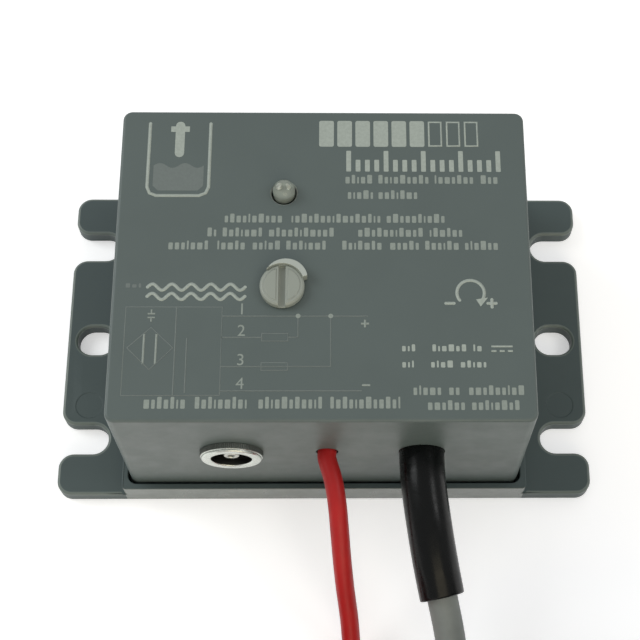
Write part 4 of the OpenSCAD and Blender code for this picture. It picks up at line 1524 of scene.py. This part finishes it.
@dataclass
class Case:
    """The moulded housing, its base plate and the screws between them.

    Attributes:
        plate_edge: The rounding of the plate's edges.
        ear_edge: The rounding of the ears' upper edges.
        ear_start: Where the ears start, from the middle.
        near: How close two lengths are that count as equal.
        hole_reach: How far from the light's middle its hole's chamfer can be.
        front_half: Half the width of the rim's front that gets the painted bounce light.
        front_depth: How far from the middle that front begins.
        mark_x: The ejector marks' places to both sides.
        mark_y: Their place in depth.
        mark_r: How far round their middles a mark's edge can be.
        mark_depth: The share of the CAD model's depth that the marks keep.
    """

    plate_edge_highlight: float = 0.12
    ear_edge: float = 0.4
    ear_start: float = 27.7
    near: float = 0.01
    hole_reach: float = 2.0
    front_half: float = 27.1
    front_depth: float = 22.0
    mark_x: float = 32.85
    mark_y: float = -9.7
    mark_r: float = 2.15
    mark_depth: float = 0.25

    def paint_light_hole_highlight(self, work: Mesh) -> None:
        """Paints a highlight on the chamfer of the status light's hole, with a lighter copy of the housing's
        finish.

        Args:
            work: The housing's mesh.
        """
        middle, reach = Vector((*LED_PLACE, TOP_Z)) * MM, self.hole_reach * MM
        for face in work.faces:
            if 0.3 < face.normal.z < 0.95 and (face.calc_center_median() - middle).length < reach:
                # The chamfer's faces get the painted highlight
                face.material_index = 1

    def build_housing(self) -> None:
        """Dresses the housing: shading that keeps its faces flat and its edges round, and a painted highlight
        on the light hole's chamfer.
        """
        shell = copy_of_node("housing", "housing_shell")
        coat(shell, Finish.HOUSING, Finish.HOUSING_EDGE_HIGHLIGHT)
        edit_mesh(shell, self.paint_light_hole_highlight)
        weighted(soften(shell, 32), 50)
        dress(shell, Finish.HOUSING, "housing_plastic", "housing")

    def in_mark(self, x: float, y: float) -> bool:
        """Tells whether a place on the plate is in one of the two round ejector marks."""
        return math.hypot(abs(x) - self.mark_x, y - self.mark_y) < self.mark_r

    def split(self, work: Mesh, x: float) -> None:
        """Cuts the faces to both sides of the middle.

        Args:
            work: The plate's mesh.
            x: The cuts' distance from the middle.
        """
        for place in (-x, x):
            everything = [*work.verts, *work.edges, *work.faces]
            cut = Vector((place, 0, 0)) * MM
            bmesh.ops.bisect_plane(work, geom=everything, plane_co=cut, plane_no=(1, 0, 0))

    def round_ears(self, work: Mesh) -> None:
        """Rounds the upper edges of both ears and their slots, as far as the rim, and paints a highlight on
        the rounding.

        Args:
            work: The plate's mesh.
        """
        self.split(work, self.ear_start)
        edges = []
        for edge in work.edges:
            ends = [vertex.co / MM for vertex in edge.verts]
            on_top = all(abs(end.z - PLATE_T) < self.near for end in ends)
            on_ear = all(abs(end.x) > self.ear_start - self.near for end in ends)
            on_mark = all(self.in_mark(end.x, end.y) for end in ends)
            wanted = on_top and on_ear and not on_mark and edge.is_manifold
            if wanted and edge.calc_face_angle() > math.radians(60):
                edges.append(edge)
        # The rounding's faces take slot 2, the lighter plate grey that paints the highlight on the ears'
        # edges
        looks = {"segments": 4, "profile": 0.5, "affect": "EDGES", "material": 2}
        bmesh.ops.bevel(work, geom=edges, offset=self.ear_edge * MM, **looks)

    def paint_front_bounce_light(self, work: Mesh) -> None:
        """Paints bounce light from the floor on the rim's front between its corners: a lighter, glossier copy
        of the plate's finish.

        Args:
            work: The plate's mesh.
        """
        self.split(work, self.front_half)
        for face in work.faces:
            middle = face.calc_center_median() / MM
            if face.normal.y < -0.5 and middle.y < -self.front_depth and abs(middle.x) < self.front_half:
                # The rim's front faces get the painted bounce light
                face.material_index = 1

    def build_plate(self) -> None:
        """Dresses the base plate, with its edges rounded as the mould leaves them, a painted highlight on the
        ears' rounded edges and painted bounce light on the rim's front.
        """
        plate = copy_of_node("base_plate", "base_tray")
        coat(plate, Finish.PLATE, Finish.PLATE_FRONT_LIT, Finish.PLATE_EDGE_HIGHLIGHT)
        edit_mesh(plate, self.round_ears)
        edit_mesh(plate, self.paint_front_bounce_light)
        half_depth = max(vertex.co.y for vertex in plate.data.vertices)
        rounded_edges(plate, self.plate_edge_highlight, 3, 50)
        for vertex in plate.data.vertices:
            vertex.co.y = max(-half_depth, min(half_depth, vertex.co.y))
            x, y, z = vertex.co / MM
            if self.in_mark(x, y) and PLATE_T - 0.3 < z < PLATE_T:
                vertex.co.z = (PLATE_T + (z - PLATE_T) * self.mark_depth) * MM
        dress(plate, Finish.PLATE, "plate_plastic", "base_plate")

    def build(self) -> None:
        """Builds the case."""
        self.build_housing()
        self.build_plate()
        dress_nodes(housing_screws=Finish.ZINC)


@dataclass
class Adjuster:
    """The trimmer's slotted adjuster and what it turns in.

    Attributes:
        edge: The rounding of its edges.
        lip_edge: How far below its top a face still counts as the lip's top, which gets the painted
            highlight.
    """

    edge: float = 0.07
    lip_edge: float = 0.06

    def build(self) -> None:
        """Rounds the adjuster's edges, paints a highlight on its lip's top and dresses the trimmer below it.
        """
        head = rounded_edges(copy_of_node("adjuster", "adjuster_head"), self.edge)
        coat(head, Finish.KNOB, Finish.KNOB_LIP_LIT)
        lit_lip_z = max(vertex.co.z for vertex in head.data.vertices) - self.lip_edge * MM
        # Faces on the lip's top get the lighter grey, a painted highlight
        for face in head.data.polygons:
            face.material_index = int(face.center.z > lit_lip_z)
        dress(head, Finish.KNOB, "knob_plastic", "adjuster", body=TURNING)
        dress_nodes(trimmer_rotor=Finish.ROTOR, trimmer_body=Finish.TRIMMER, trimmer_pins=Finish.TIN)


@dataclass
class StatusLight:
    """The clear status light with the milky middle and the two lead posts inside it, painted near-white as
    the dome's two glints.

    Attributes:
        radius: The lens's radius.
        foot_z: The height of its foot.
        flange: How far its foot flange stands out.
        flange_h: The flange's height.
        dome_z: The height where its dome begins.
        core_share: The milky middle's radius as a share of the lens's.
        core_edge: The rounding of the milky middle.
        core_rise: How far the milky middle rises into the dome.
        post_top: How far the posts rise into the dome.
        post_foot: How far above the dome's start they begin.
        posts: Each post's place from the middle and its radius.
    """

    radius: float = 1.42
    foot_z: float = BOARD_TOP + 0.8
    flange: float = 0.2
    flange_h: float = 0.8
    dome_z: float = TOP_Z + 0.6
    core_share: float = 0.89
    core_edge: float = 0.3
    core_rise: float = 0.15
    post_top: float = 1.24
    post_foot: float = 0.3
    posts: tuple[Point, ...] = ((-0.46, 0.24, 0.3), (0.46, 0.2, 0.22))

    def lens_outline(self) -> list[Flat]:
        """Gives the lens's outline from its foot to the top of its dome.

        Returns:
            Radius and height of each point.
        """
        r, f, h = self.radius, self.foot_z, self.flange_h
        line = [(0.05, f), (r + self.flange, f), (r + self.flange, f + h), (r, f + h + 0.05)]
        return [*line, *arc(0, self.dome_z, r, range(0, 90, 6)), (0.02, self.dome_z + r)]

    def core_outline(self) -> list[Flat]:
        """Gives the outline of the milky middle, a column that ends under the dome.

        Returns:
            Radius and height of each point.
        """
        r, e = self.radius * self.core_share, self.core_edge
        top, low = self.dome_z + self.core_rise, TOP_Z - 0.4
        return [(0.02, low), (r, low), *arc(r - e, top - e, e, range(0, 90, 15)), (0.02, top)]

    def build(self) -> None:
        """Builds the lens, its milky middle and its two posts, whose near-white paints the dome's glints."""
        x, y = LED_PLACE
        lens = lathe("light_lens", self.lens_outline(), (x, y, 0), steps=48)
        dress(soften(lens, 40), Finish.LENS, "clear_lens", "status_led")
        glints = []
        for number, (dx, dy, r) in enumerate(self.posts):
            top, low = self.dome_z + self.post_top, self.dome_z + self.post_foot
            line = [(0.02, low), (r, low), (r, top - r * 0.5), (r * 0.75, top - 0.04), (0.02, top)]
            glints.append(lathe(f"light_post_{number}", line, (x + dx, y + dy, 0), steps=20))
        # The posts' near-white finish paints the dome's two glints
        dress(soften(joined("light_post_glints", glints), 50), Finish.LENS_GLINT, "tinned_metal")
        core = lathe("light_core", self.core_outline(), (x, y, 0), steps=40)
        dress(soften(core), Finish.LENS_CORE, "clear_lens")
        dress_nodes(led_leads=Finish.TIN)


@dataclass
class ProbeSocket:
    """The knurled metal socket in the front wall, with its contact in a white insulator.

    Attributes:
        flange_r: The knurled flange's radius.
        flange_t: How far the flange stands out.
        bore_r: The bore's radius.
        neck_r: The neck's radius.
        neck_l: The neck's length.
        knurls: The number of ridges round the flange.
        knurl_r: The ridges' radius.
        face_y: How far from the middle the flange sits on the wall.
        contact_r: The contact's radius.
        contact_recess: How far its nose lies behind the flange's face.
        insulator_l: The insulator's length.
    """

    flange_r: float = 4.02
    flange_t: float = 1.05
    bore_r: float = 2.6
    neck_r: float = 3.3
    neck_l: float = 8.5
    knurls: int = 104
    knurl_r: float = 0.085
    face_y: float = 21.316
    contact_r: float = 1.02
    contact_recess: float = 0.5
    insulator_l: float = 3.5

    def turned(self, name: str, outline: Outline, steps: int, closed: bool = True) -> Piece:
        """Turns an outline round the socket's axis, with radius and distance out from the wall."""
        foot = (SOCKET_X, -self.face_y, EXIT_Z)
        return soften(lathe(name, outline, foot, (0, -1, 0), steps, closed))

    def make_shell(self) -> Piece:
        """Makes the turned shell, with a rolled front ring, a snap groove in its bore and painted shade
        inside the bore.

        Returns:
            The shell.
        """
        r, b, t, n, back = self.flange_r - 0.1, self.bore_r, self.flange_t, self.neck_r, -self.neck_l
        outline = [(b, back), (n - 0.2, back), (n, back + 0.2), (n, -0.02), (r, 0.0), (r, t - 0.36)]
        outline += [(r - 0.1, t - 0.3), (r - 0.1, t - 0.22), *arc(r - 0.32, t - 0.22, 0.22, (20, 45, 70, 90))]
        outline += [(b + 0.2, t), (b + 0.08, t - 0.03), (b, t - 0.12), (b, t - 0.62)]
        outline += [(b + 0.2, t - 0.68), (b + 0.2, t - 0.98), (b, t - 1.04)]
        shell = self.turned("socket_turned", outline, 96)
        coat(shell, Finish.NICKEL, Finish.SOCKET_BORE_SHADE)
        # Faces inside the bore, behind its mouth, get the painted shade
        mouth = -(self.face_y + t - 0.13) * MM
        for face in shell.data.polygons:
            reach = math.hypot(face.center.x - SOCKET_X * MM, face.center.z - EXIT_Z * MM)
            face.material_index = int(face.center.y > mouth and reach < (b + 0.25) * MM)
        return shell

    def make_knurl(self) -> Piece:
        """Makes the ridges round the flange with Geometry Nodes, in a darker nickel that is partly painted
        shade.

        Returns:
            The ridges.
        """
        length = self.flange_t - 0.4
        sizes = {"Radius": (self.flange_r - self.knurl_r) * MM, "Length": length * MM}
        recipe = NodeRecipe("knurl_ring", {"Ridges": self.knurls, **sizes})
        given = recipe.given
        around = {"Vertices": given["Ridges"], "Radius": given["Radius"]}
        circle = recipe.put("GeometryNodeMeshCircle", around)
        rod = {"Vertices": 6, "Radius": self.knurl_r * MM, "Depth": given["Length"]}
        knurl = recipe.scatter(circle, recipe.put("GeometryNodeMeshCylinder", rod))
        (middle,) = metres([(SOCKET_X, -self.face_y - length / 2, EXIT_Z)])
        place = {"Geometry": knurl, "Translation": middle, "Rotation": (math.pi / 2, 0, 0)}
        result = recipe.put("GeometryNodeTransform", place)
        return recipe.bake_onto(mesh_object("socket_knurl", [(0, 0, 0)]), result, Finish.KNURL_SHADED)

    def make_contact(self) -> Piece:
        """Makes the hollow centre contact with its round nose and its solder tail.

        Returns:
            The contact.
        """
        r, tip, back = self.contact_r, self.flange_t - self.contact_recess, -self.neck_l
        outline = [(0.05, back - 2.6), (r / 2, back - 2.55), (r / 2, back), (r, back)]
        outline += [*arc(r - 0.2, tip - 0.2, 0.2, (0, 30, 60, 90)), (0.56, tip), (0.48, tip - 0.1)]
        return self.turned("socket_pin", [*outline, (0.46, tip - 3.0), (0.02, tip - 3.1)], 48, closed=False)

    def make_insulator(self) -> Piece:
        """Makes the insulator that holds the contact in the bore.

        Returns:
            The insulator.
        """
        r, c, back = self.bore_r - 0.02, self.contact_r + 0.02, -self.neck_l
        front = back + self.insulator_l
        outline = [(c, back), (r - 0.1, back), (r, back + 0.1), (r, front - 0.15), (r - 0.15, front)]
        return self.turned("socket_insert", [*outline, (c + 0.25, front), (c, front - 0.2)], 64)

    def build(self) -> None:
        """Builds the socket."""
        dress(self.make_shell(), Finish.NICKEL, "socket_metal", "socket_shell")
        dress(self.make_knurl(), Finish.KNURL_SHADED, "socket_metal", "socket_shell")
        dress(self.make_contact(), Finish.CONTACT, "contact_gold", "socket_contact")
        dress(self.make_insulator(), Finish.WHITE_PLASTIC, "white_plastic", "socket_insulator")
        dress_nodes(socket_washer=Finish.ZINC, socket_nut=Finish.ZINC, socket_wire=Finish.WHITE)


# The printed top


@dataclass
class PrintedTop:
    """Pale marks printed on the housing's top: plain bars and blocks, a level scale and a wiring sketch.

    Attributes:
        ink: How far the ink stands on the face.
        bite: How far it reaches below the face.
        over: The extra height of ink that lies over other ink.
        step: The height between lines of one piece that may cross.
        steps: How many such heights it uses in turn.
        sink: How far the round ends of lines lie below the ink's top.
        thin: The width of the wiring sketch's lines.
        figure_h: The numbers' height.
        figure_x: The numbers' place across the top.
        block_w: The widths of the blocks in a word, in turn.
        block_h: Their heights as shares of the word's, in turn.
        block_gap: The gap between two blocks.
        block_min: The shortest stretch that still gets a block.
        block_corner: The rounding of their corners.
        words: Each group's name, height, ink and rows: the row's place, then each word's two ends.
    """

    ink: float = 0.012
    bite: float = 0.01
    over: float = 0.008
    step: float = 0.0012
    steps: int = 5
    sink: float = 0.002
    thin: float = 0.17
    figure_h: float = 2.1
    figure_x: float = -9.9
    block_w: tuple[float, ...] = (0.54, 0.44, 0.22, 0.54, 0.66, 0.42, 0.54)
    block_h: tuple[float, ...] = (1.3, 1.0, 1.3, 1.0, 1.0, 1.0, 1.3, 1.0, 1.0)
    block_gap: float = 0.26
    block_min: float = 0.2
    block_corner: float = 0.12
    words: tuple[tuple[str, float, Finish, tuple[tuple[float, ...], ...]], ...] = (
        (
            "mark_lines_top",
            0.95,
            Finish.INK_TEXT,
            (
                (11.15, 2.8, 6.2, 7.0, 13.4, 14.2, 19.4, 20.1, 22.5),
                (8.95, 3.1, 6.3, 7.0, 12.2),
                (5.6, -12.4, -4.8, -4.0, 7.2, 8.0, 15.4),
                (3.65, -14.5, -13.4, -12.6, -7.6, -6.8, 1.4, 4.4, 12.6, 13.4, 17.5),
                (1.85, -19.3, -14.0, -13.2, -9.6, -8.8, -5.4, -4.6, 0.4)
                + (2.4, 7.6, 8.4, 12.0, 12.8, 17.0, 17.8, 22.1),
            ),
        ),
        (
            "mark_lines_type",
            1.15,
            Finish.INK_TEXT,
            ((-19.0, -21.3, -16.2, -15.2, -9.0, -7.6, 0.0, 1.0, 9.4),),
        ),
        (
            "mark_lines_foot",
            0.95,
            Finish.INK_TEXT,
            ((-17.4, 11.0, 14.6, 15.3, 17.0, 17.7, 24.4), (-19.3, 12.7, 17.2, 18.0, 23.7)),
        ),
        (
            "mark_ratings",
            0.7,
            Finish.INK_BOLD,
            ((-11.9, 9.7, 11.3, 13.4, 17.6, 18.4, 19.4), (-14.0, 9.7, 11.1, 13.2, 16.0, 16.8, 19.9)),
        ),
    )

    def laid(self, piece: Piece, finish: Finish) -> None:
        """Dresses a printed piece."""
        dress(piece, finish, "housing_plastic")

    def blocks(self, name: str, outlines: Iterable[Outline], finish: Finish, lift: float = 0.0) -> None:
        """Prints filled outlines, with a lift where they lie over other ink."""
        self.laid(prism(name, outlines, TOP_Z - self.bite, TOP_Z + self.ink + lift), finish)

    def strokes(
        self, name: str, lines: Sequence[Outline], width: float, finish: Finish, round_ends: bool = False
    ) -> None:
        """Prints lines of one width with Geometry Nodes.

        Args:
            name: The piece's name.
            lines: Points of each line, in millimetres, with the first repeated at the end of a closed one.
            width: The lines' width, in millimetres.
            finish: The ink.
            round_ends: Whether each line's ends are round.
        """
        points, edges = [], []
        for number, line in enumerate(lines):
            z = TOP_Z + (self.ink - self.bite) / 2 + self.step * (number % self.steps)
            closed = len(line) > 2 and line[0] == line[-1]
            start, count = len(points), len(line) - closed
            points += metres((x, y, z) for x, y in line[:count])
            edges += [(start + k, start + k + 1) for k in range(count - 1)]
            if closed:
                edges.append((start + count - 1, start))
        piece = mesh_object(name, points, edges=edges)
        sizes = {"Line Width": width * MM, "Ink Height": (self.ink + self.bite) * MM}
        recipe = NodeRecipe(f"{name}_ink", sizes)
        given = recipe.given
        curve = recipe.put("GeometryNodeMeshToCurve", {"Mesh": given["Geometry"]})
        upright = recipe.put("GeometryNodeSetCurveNormal", {"Curve": curve}, mode="Z_UP")
        sides = {"Width": given["Line Width"], "Height": given["Ink Height"]}
        section = recipe.put("GeometryNodeCurvePrimitiveQuadrilateral", sides)
        parts = {"Curve": upright, "Profile Curve": section, "Fill Caps": True}
        recipe.bake_onto(piece, recipe.put("GeometryNodeCurveToMesh", parts), finish)
        if round_ends:
            dots = [disc(x, y, width / 2, 16) for line in lines for x, y in (line[0], line[-1])]
            ends = prism(f"{name}_ends", dots, TOP_Z - self.bite, TOP_Z + self.ink - self.sink)
            piece = joined(name, [piece, ends])
        self.laid(piece, finish)

    def word(self, x0: float, x1: float, y: float, height: float) -> list[list[Flat]]:
        """Gives one word's row of small blocks, some of them taller, in turn.

        Args:
            x0: Where the word starts.
            x1: Where it ends.
            y: The height of its middle on the face.
            height: A low block's height.

        Returns:
            The blocks' outlines.
        """
        outlines = []
        x, k, low = x0, round(abs(x0 + y) * 10), y - height / 2
        while x < x1 - self.block_min:
            w = min(self.block_w[k % len(self.block_w)], x1 - x)
            high = low + self.block_h[k % len(self.block_h)] * height
            outlines.append(bar(x, low, x + w, high, self.block_corner))
            x += w + self.block_gap
            k += 1
        return outlines

    def level_sign(self) -> None:
        """Prints a plain sign of a vessel with a probe over a wavy level."""
        x0, x1, y0, y1 = -22.4, -14.6, 8.9, 19.3
        wall = path(x0, y1, x0, y0 + 1.2, x0 + 0.35, y0 + 0.35, x0 + 1.2, y0)
        wall += path(x1 - 1.2, y0, x1 - 0.35, y0 + 0.35, x1, y0 + 1.2, x1, y1)
        self.strokes("mark_vessel", [wall], 0.42, Finish.INK_BOLD, round_ends=True)
        x0, x1 = x0 + 0.7, x1 - 0.7
        liquid = path(x0, y0 + 1.4, x0 + 0.7, y0 + 0.7, x1 - 0.7, y0 + 0.7, x1, y0 + 1.4)
        steps = [k / 24 for k in reversed(range(25))]
        liquid += [(x0 + (x1 - x0) * s, 13.2 + 0.35 * math.sin(4 * math.pi * s)) for s in steps]
        self.blocks("mark_liquid", [liquid], Finish.INK_FAINT)
        arms = [bar(-19.7, 18.1, -19.1, 18.9), bar(-17.9, 18.1, -17.3, 18.9)]
        self.blocks("mark_probe", [bar(-19.1, 14.4, -17.9, 19.6, 0.6), *arms], Finish.INK_BOLD)

    def level_scale(self) -> None:
        """Prints a bar of blocks with a ruler below it."""
        places = [-0.6 + 2.34 * k for k in range(9)]
        blocks = [bar(x, 16.0, x + 1.9, 19.8, 0.25) for x in places[:6]]
        for k in range(17):
            x = 2.9 + 1.2 * k
            blocks.append(bar(x, 12.4, x + 0.62, 15.4 if k % 4 == 0 else 14.1, 0.1))
        self.blocks("mark_scale", blocks, Finish.INK_BOLD)
        frames = [ring(x + 0.15, 16.15, x + 1.75, 19.65) for x in places[6:]]
        self.strokes("mark_scale_frames", frames, 0.3, Finish.INK_BOLD)

    def wiring_sketch(self) -> None:
        """Prints the sketch of the sensor, its wires and loads, with plain numbers on the wires."""
        lines = [
            ring(-24.1, -6.4, -12.3, -17.9),
            path(-17.9, -6.4, -17.9, -17.9),
            path(-20.9, -9.1, -18.1, -11.8, -20.9, -14.6, -23.7, -11.8, -20.9, -9.1),
            path(-16.5, -10.5, -16.5, -17.6),
            path(-12.3, -7.6, 5.6, -7.6),
            path(-12.3, -10.4, -7.4, -10.4),
            path(-12.3, -14.2, 1.0, -14.2, 1.0, -7.6),
            path(-12.3, -17.3, 4.8, -17.3),
            path(-3.0, -7.6, -3.0, -10.4, -4.2, -10.4),
            ring(-7.4, -9.9, -4.2, -10.9),
            ring(-7.4, -13.7, -4.2, -14.7),
        ]
        self.strokes("mark_wires", lines, self.thin, Finish.INK_FAINT)
        dots = [disc(-3.0, -7.6, 0.3), disc(1.0, -7.6, 0.3)]
        self.blocks("mark_joints", dots, Finish.INK_TEXT, self.over)
        signs = [path(-21.7, -10.0, -21.7, -13.9), path(-20.2, -10.0, -20.2, -13.9)]
        signs += [path(4.7, -8.6, 5.7, -8.6), path(5.2, -8.1, 5.2, -9.1), path(4.8, -16.6, 5.8, -16.6)]
        self.strokes("mark_signs", signs, 0.26, Finish.INK_TEXT)
        cell = [path(-21.4, -7.3, -20.5, -7.3), path(-21.4, -7.8, -20.5, -7.8)]
        cell += [path(-20.95, -6.75, -20.95, -7.3), path(-20.95, -7.8, -20.95, -8.35)]
        self.strokes("mark_capacitor", cell, 0.2, Finish.INK_TEXT)

    def numbers(self) -> None:
        """Prints the plain numbers 1 to 4 at the wires."""
        pieces = []
        for figure, y in zip("1234", (-6.75, -9.6, -13.4, -16.45)):
            text = bpy.data.curves.new(f"figure_{figure}", "FONT")
            text.body, text.size = figure, self.figure_h * MM
            text.align_x, text.align_y = "CENTER", "CENTER"
            text.extrude = (self.ink + self.bite) / 2 * MM
            holder = linked(f"figure_{figure}", text)
            bpy.context.view_layer.update()
            graph = bpy.context.evaluated_depsgraph_get()
            mesh = bpy.data.meshes.new_from_object(holder.evaluated_get(graph))
            middle = Vector((self.figure_x, y, TOP_Z + (self.ink - self.bite) / 2))
            mesh.transform(Matrix.Translation(middle * MM))
            bpy.data.objects.remove(holder)
            piece = linked(f"mark_figure_{figure}", mesh)
            edit_mesh(piece, close_and_turn_out)
            pieces.append(piece)
        made = joined("mark_figures", pieces)
        made.data.materials.clear()
        self.laid(made, Finish.INK_TEXT)

    def level_wave(self) -> None:
        """Prints a band of two waves, the sign for a liquid's level, and a short word before it."""
        steps = [k / 72 for k in range(73)]
        wave = [(-21.6 + 12.0 * s, 0.42 * math.sin(10 * math.pi * s)) for s in steps]
        waves = [[(x, y + rise) for x, rise in wave] for y in (-3.75, -5.0)]
        self.strokes("mark_wave", waves, 0.42, Finish.INK_BOLD, round_ends=True)
        self.blocks("mark_wave_note", self.word(-24.3, -22.4, -3.6, 0.45), Finish.INK_FAINT)

    def turn_sign(self) -> None:
        """Prints an arc from a minus to a plus, the sign for turning an adjuster."""
        turn = arc(18.3, -4.5, 1.7, [215 - 250 * k / 30 for k in range(31)])
        signs = [path(15.2, -5.9, 16.2, -5.9), path(20.4, -5.9, 21.4, -5.9), path(20.9, -5.4, 20.9, -6.4)]
        self.strokes("mark_turn", [turn, *signs], 0.4, Finish.INK_BOLD, round_ends=True)
        x, y = turn[-1]
        tip = path(x - 0.75, y + 0.1, x + 0.75, y + 0.35, x - 0.2, y - 0.85)
        self.blocks("mark_turn_tip", [tip], Finish.INK_BOLD, self.over)

    def supply_sign(self) -> None:
        """Prints the direct current sign after the ratings."""
        supply = [path(20.6, -11.6, 23.2, -11.6)]
        supply += [path(x, -12.2, x + 0.6, -12.2) for x in (20.6, 21.6, 22.6)]
        self.strokes("mark_supply", supply, 0.24, Finish.INK_BOLD)

    def build(self) -> None:
        """Prints the whole top."""
        self.level_sign()
        self.level_scale()
        self.wiring_sketch()
        self.numbers()
        self.level_wave()
        self.turn_sign()
        for name, height, finish, rows in self.words:
            spans = [(x0, x1, row[0], height) for row in rows for x0, x1 in path(*row[1:])]
            self.blocks(name, [outline for span in spans for outline in self.word(*span)], finish)
        self.supply_sign()
        log.info("print: plain marks, bars and numbers")


# What the case holds


@dataclass
class BoardParts:
    """The circuit board and what is soldered to it, all inside the case.

    Attributes:
        moulded: The nodes of black moulded resin.
    """

    moulded: tuple[str, ...] = (
        "sensor_chip",
        "voltage_regulator",
        "output_transistor",
        "protection_diodes",
        "resistors",
    )

    def build(self) -> None:
        """Gives each inner node its finish."""
        dress_nodes(circuit_board=Finish.BOARD, board_screws=Finish.ZINC)
        dress_nodes(**dict.fromkeys(self.moulded, Finish.RESIN))
        dress_nodes(
            ceramic_capacitors=Finish.CERAMIC,
            buffer_capacitor=Finish.CAN,
            cable_inner=Finish.CABLE,
            strain_ties=Finish.TIE,
            inner_core_brown=Finish.BROWN,
            inner_core_black=Finish.BLACK,
            inner_core_white=Finish.WHITE,
            inner_core_blue=Finish.BLUE,
            red_lead_inner=Finish.RED,
        )


def main() -> None:
    """Builds the studio and the switch."""
    logging.basicConfig(level=logging.INFO, format="%(name)s %(message)s")
    boxed = (Case(), Adjuster(), StatusLight(), ProbeSocket(), PrintedTop(), BoardParts())
    for part in (Studio(), Cable(), EarthLead(), Sleeve(), *boxed):
        part.build()


if __name__ == "__main__":
    main()
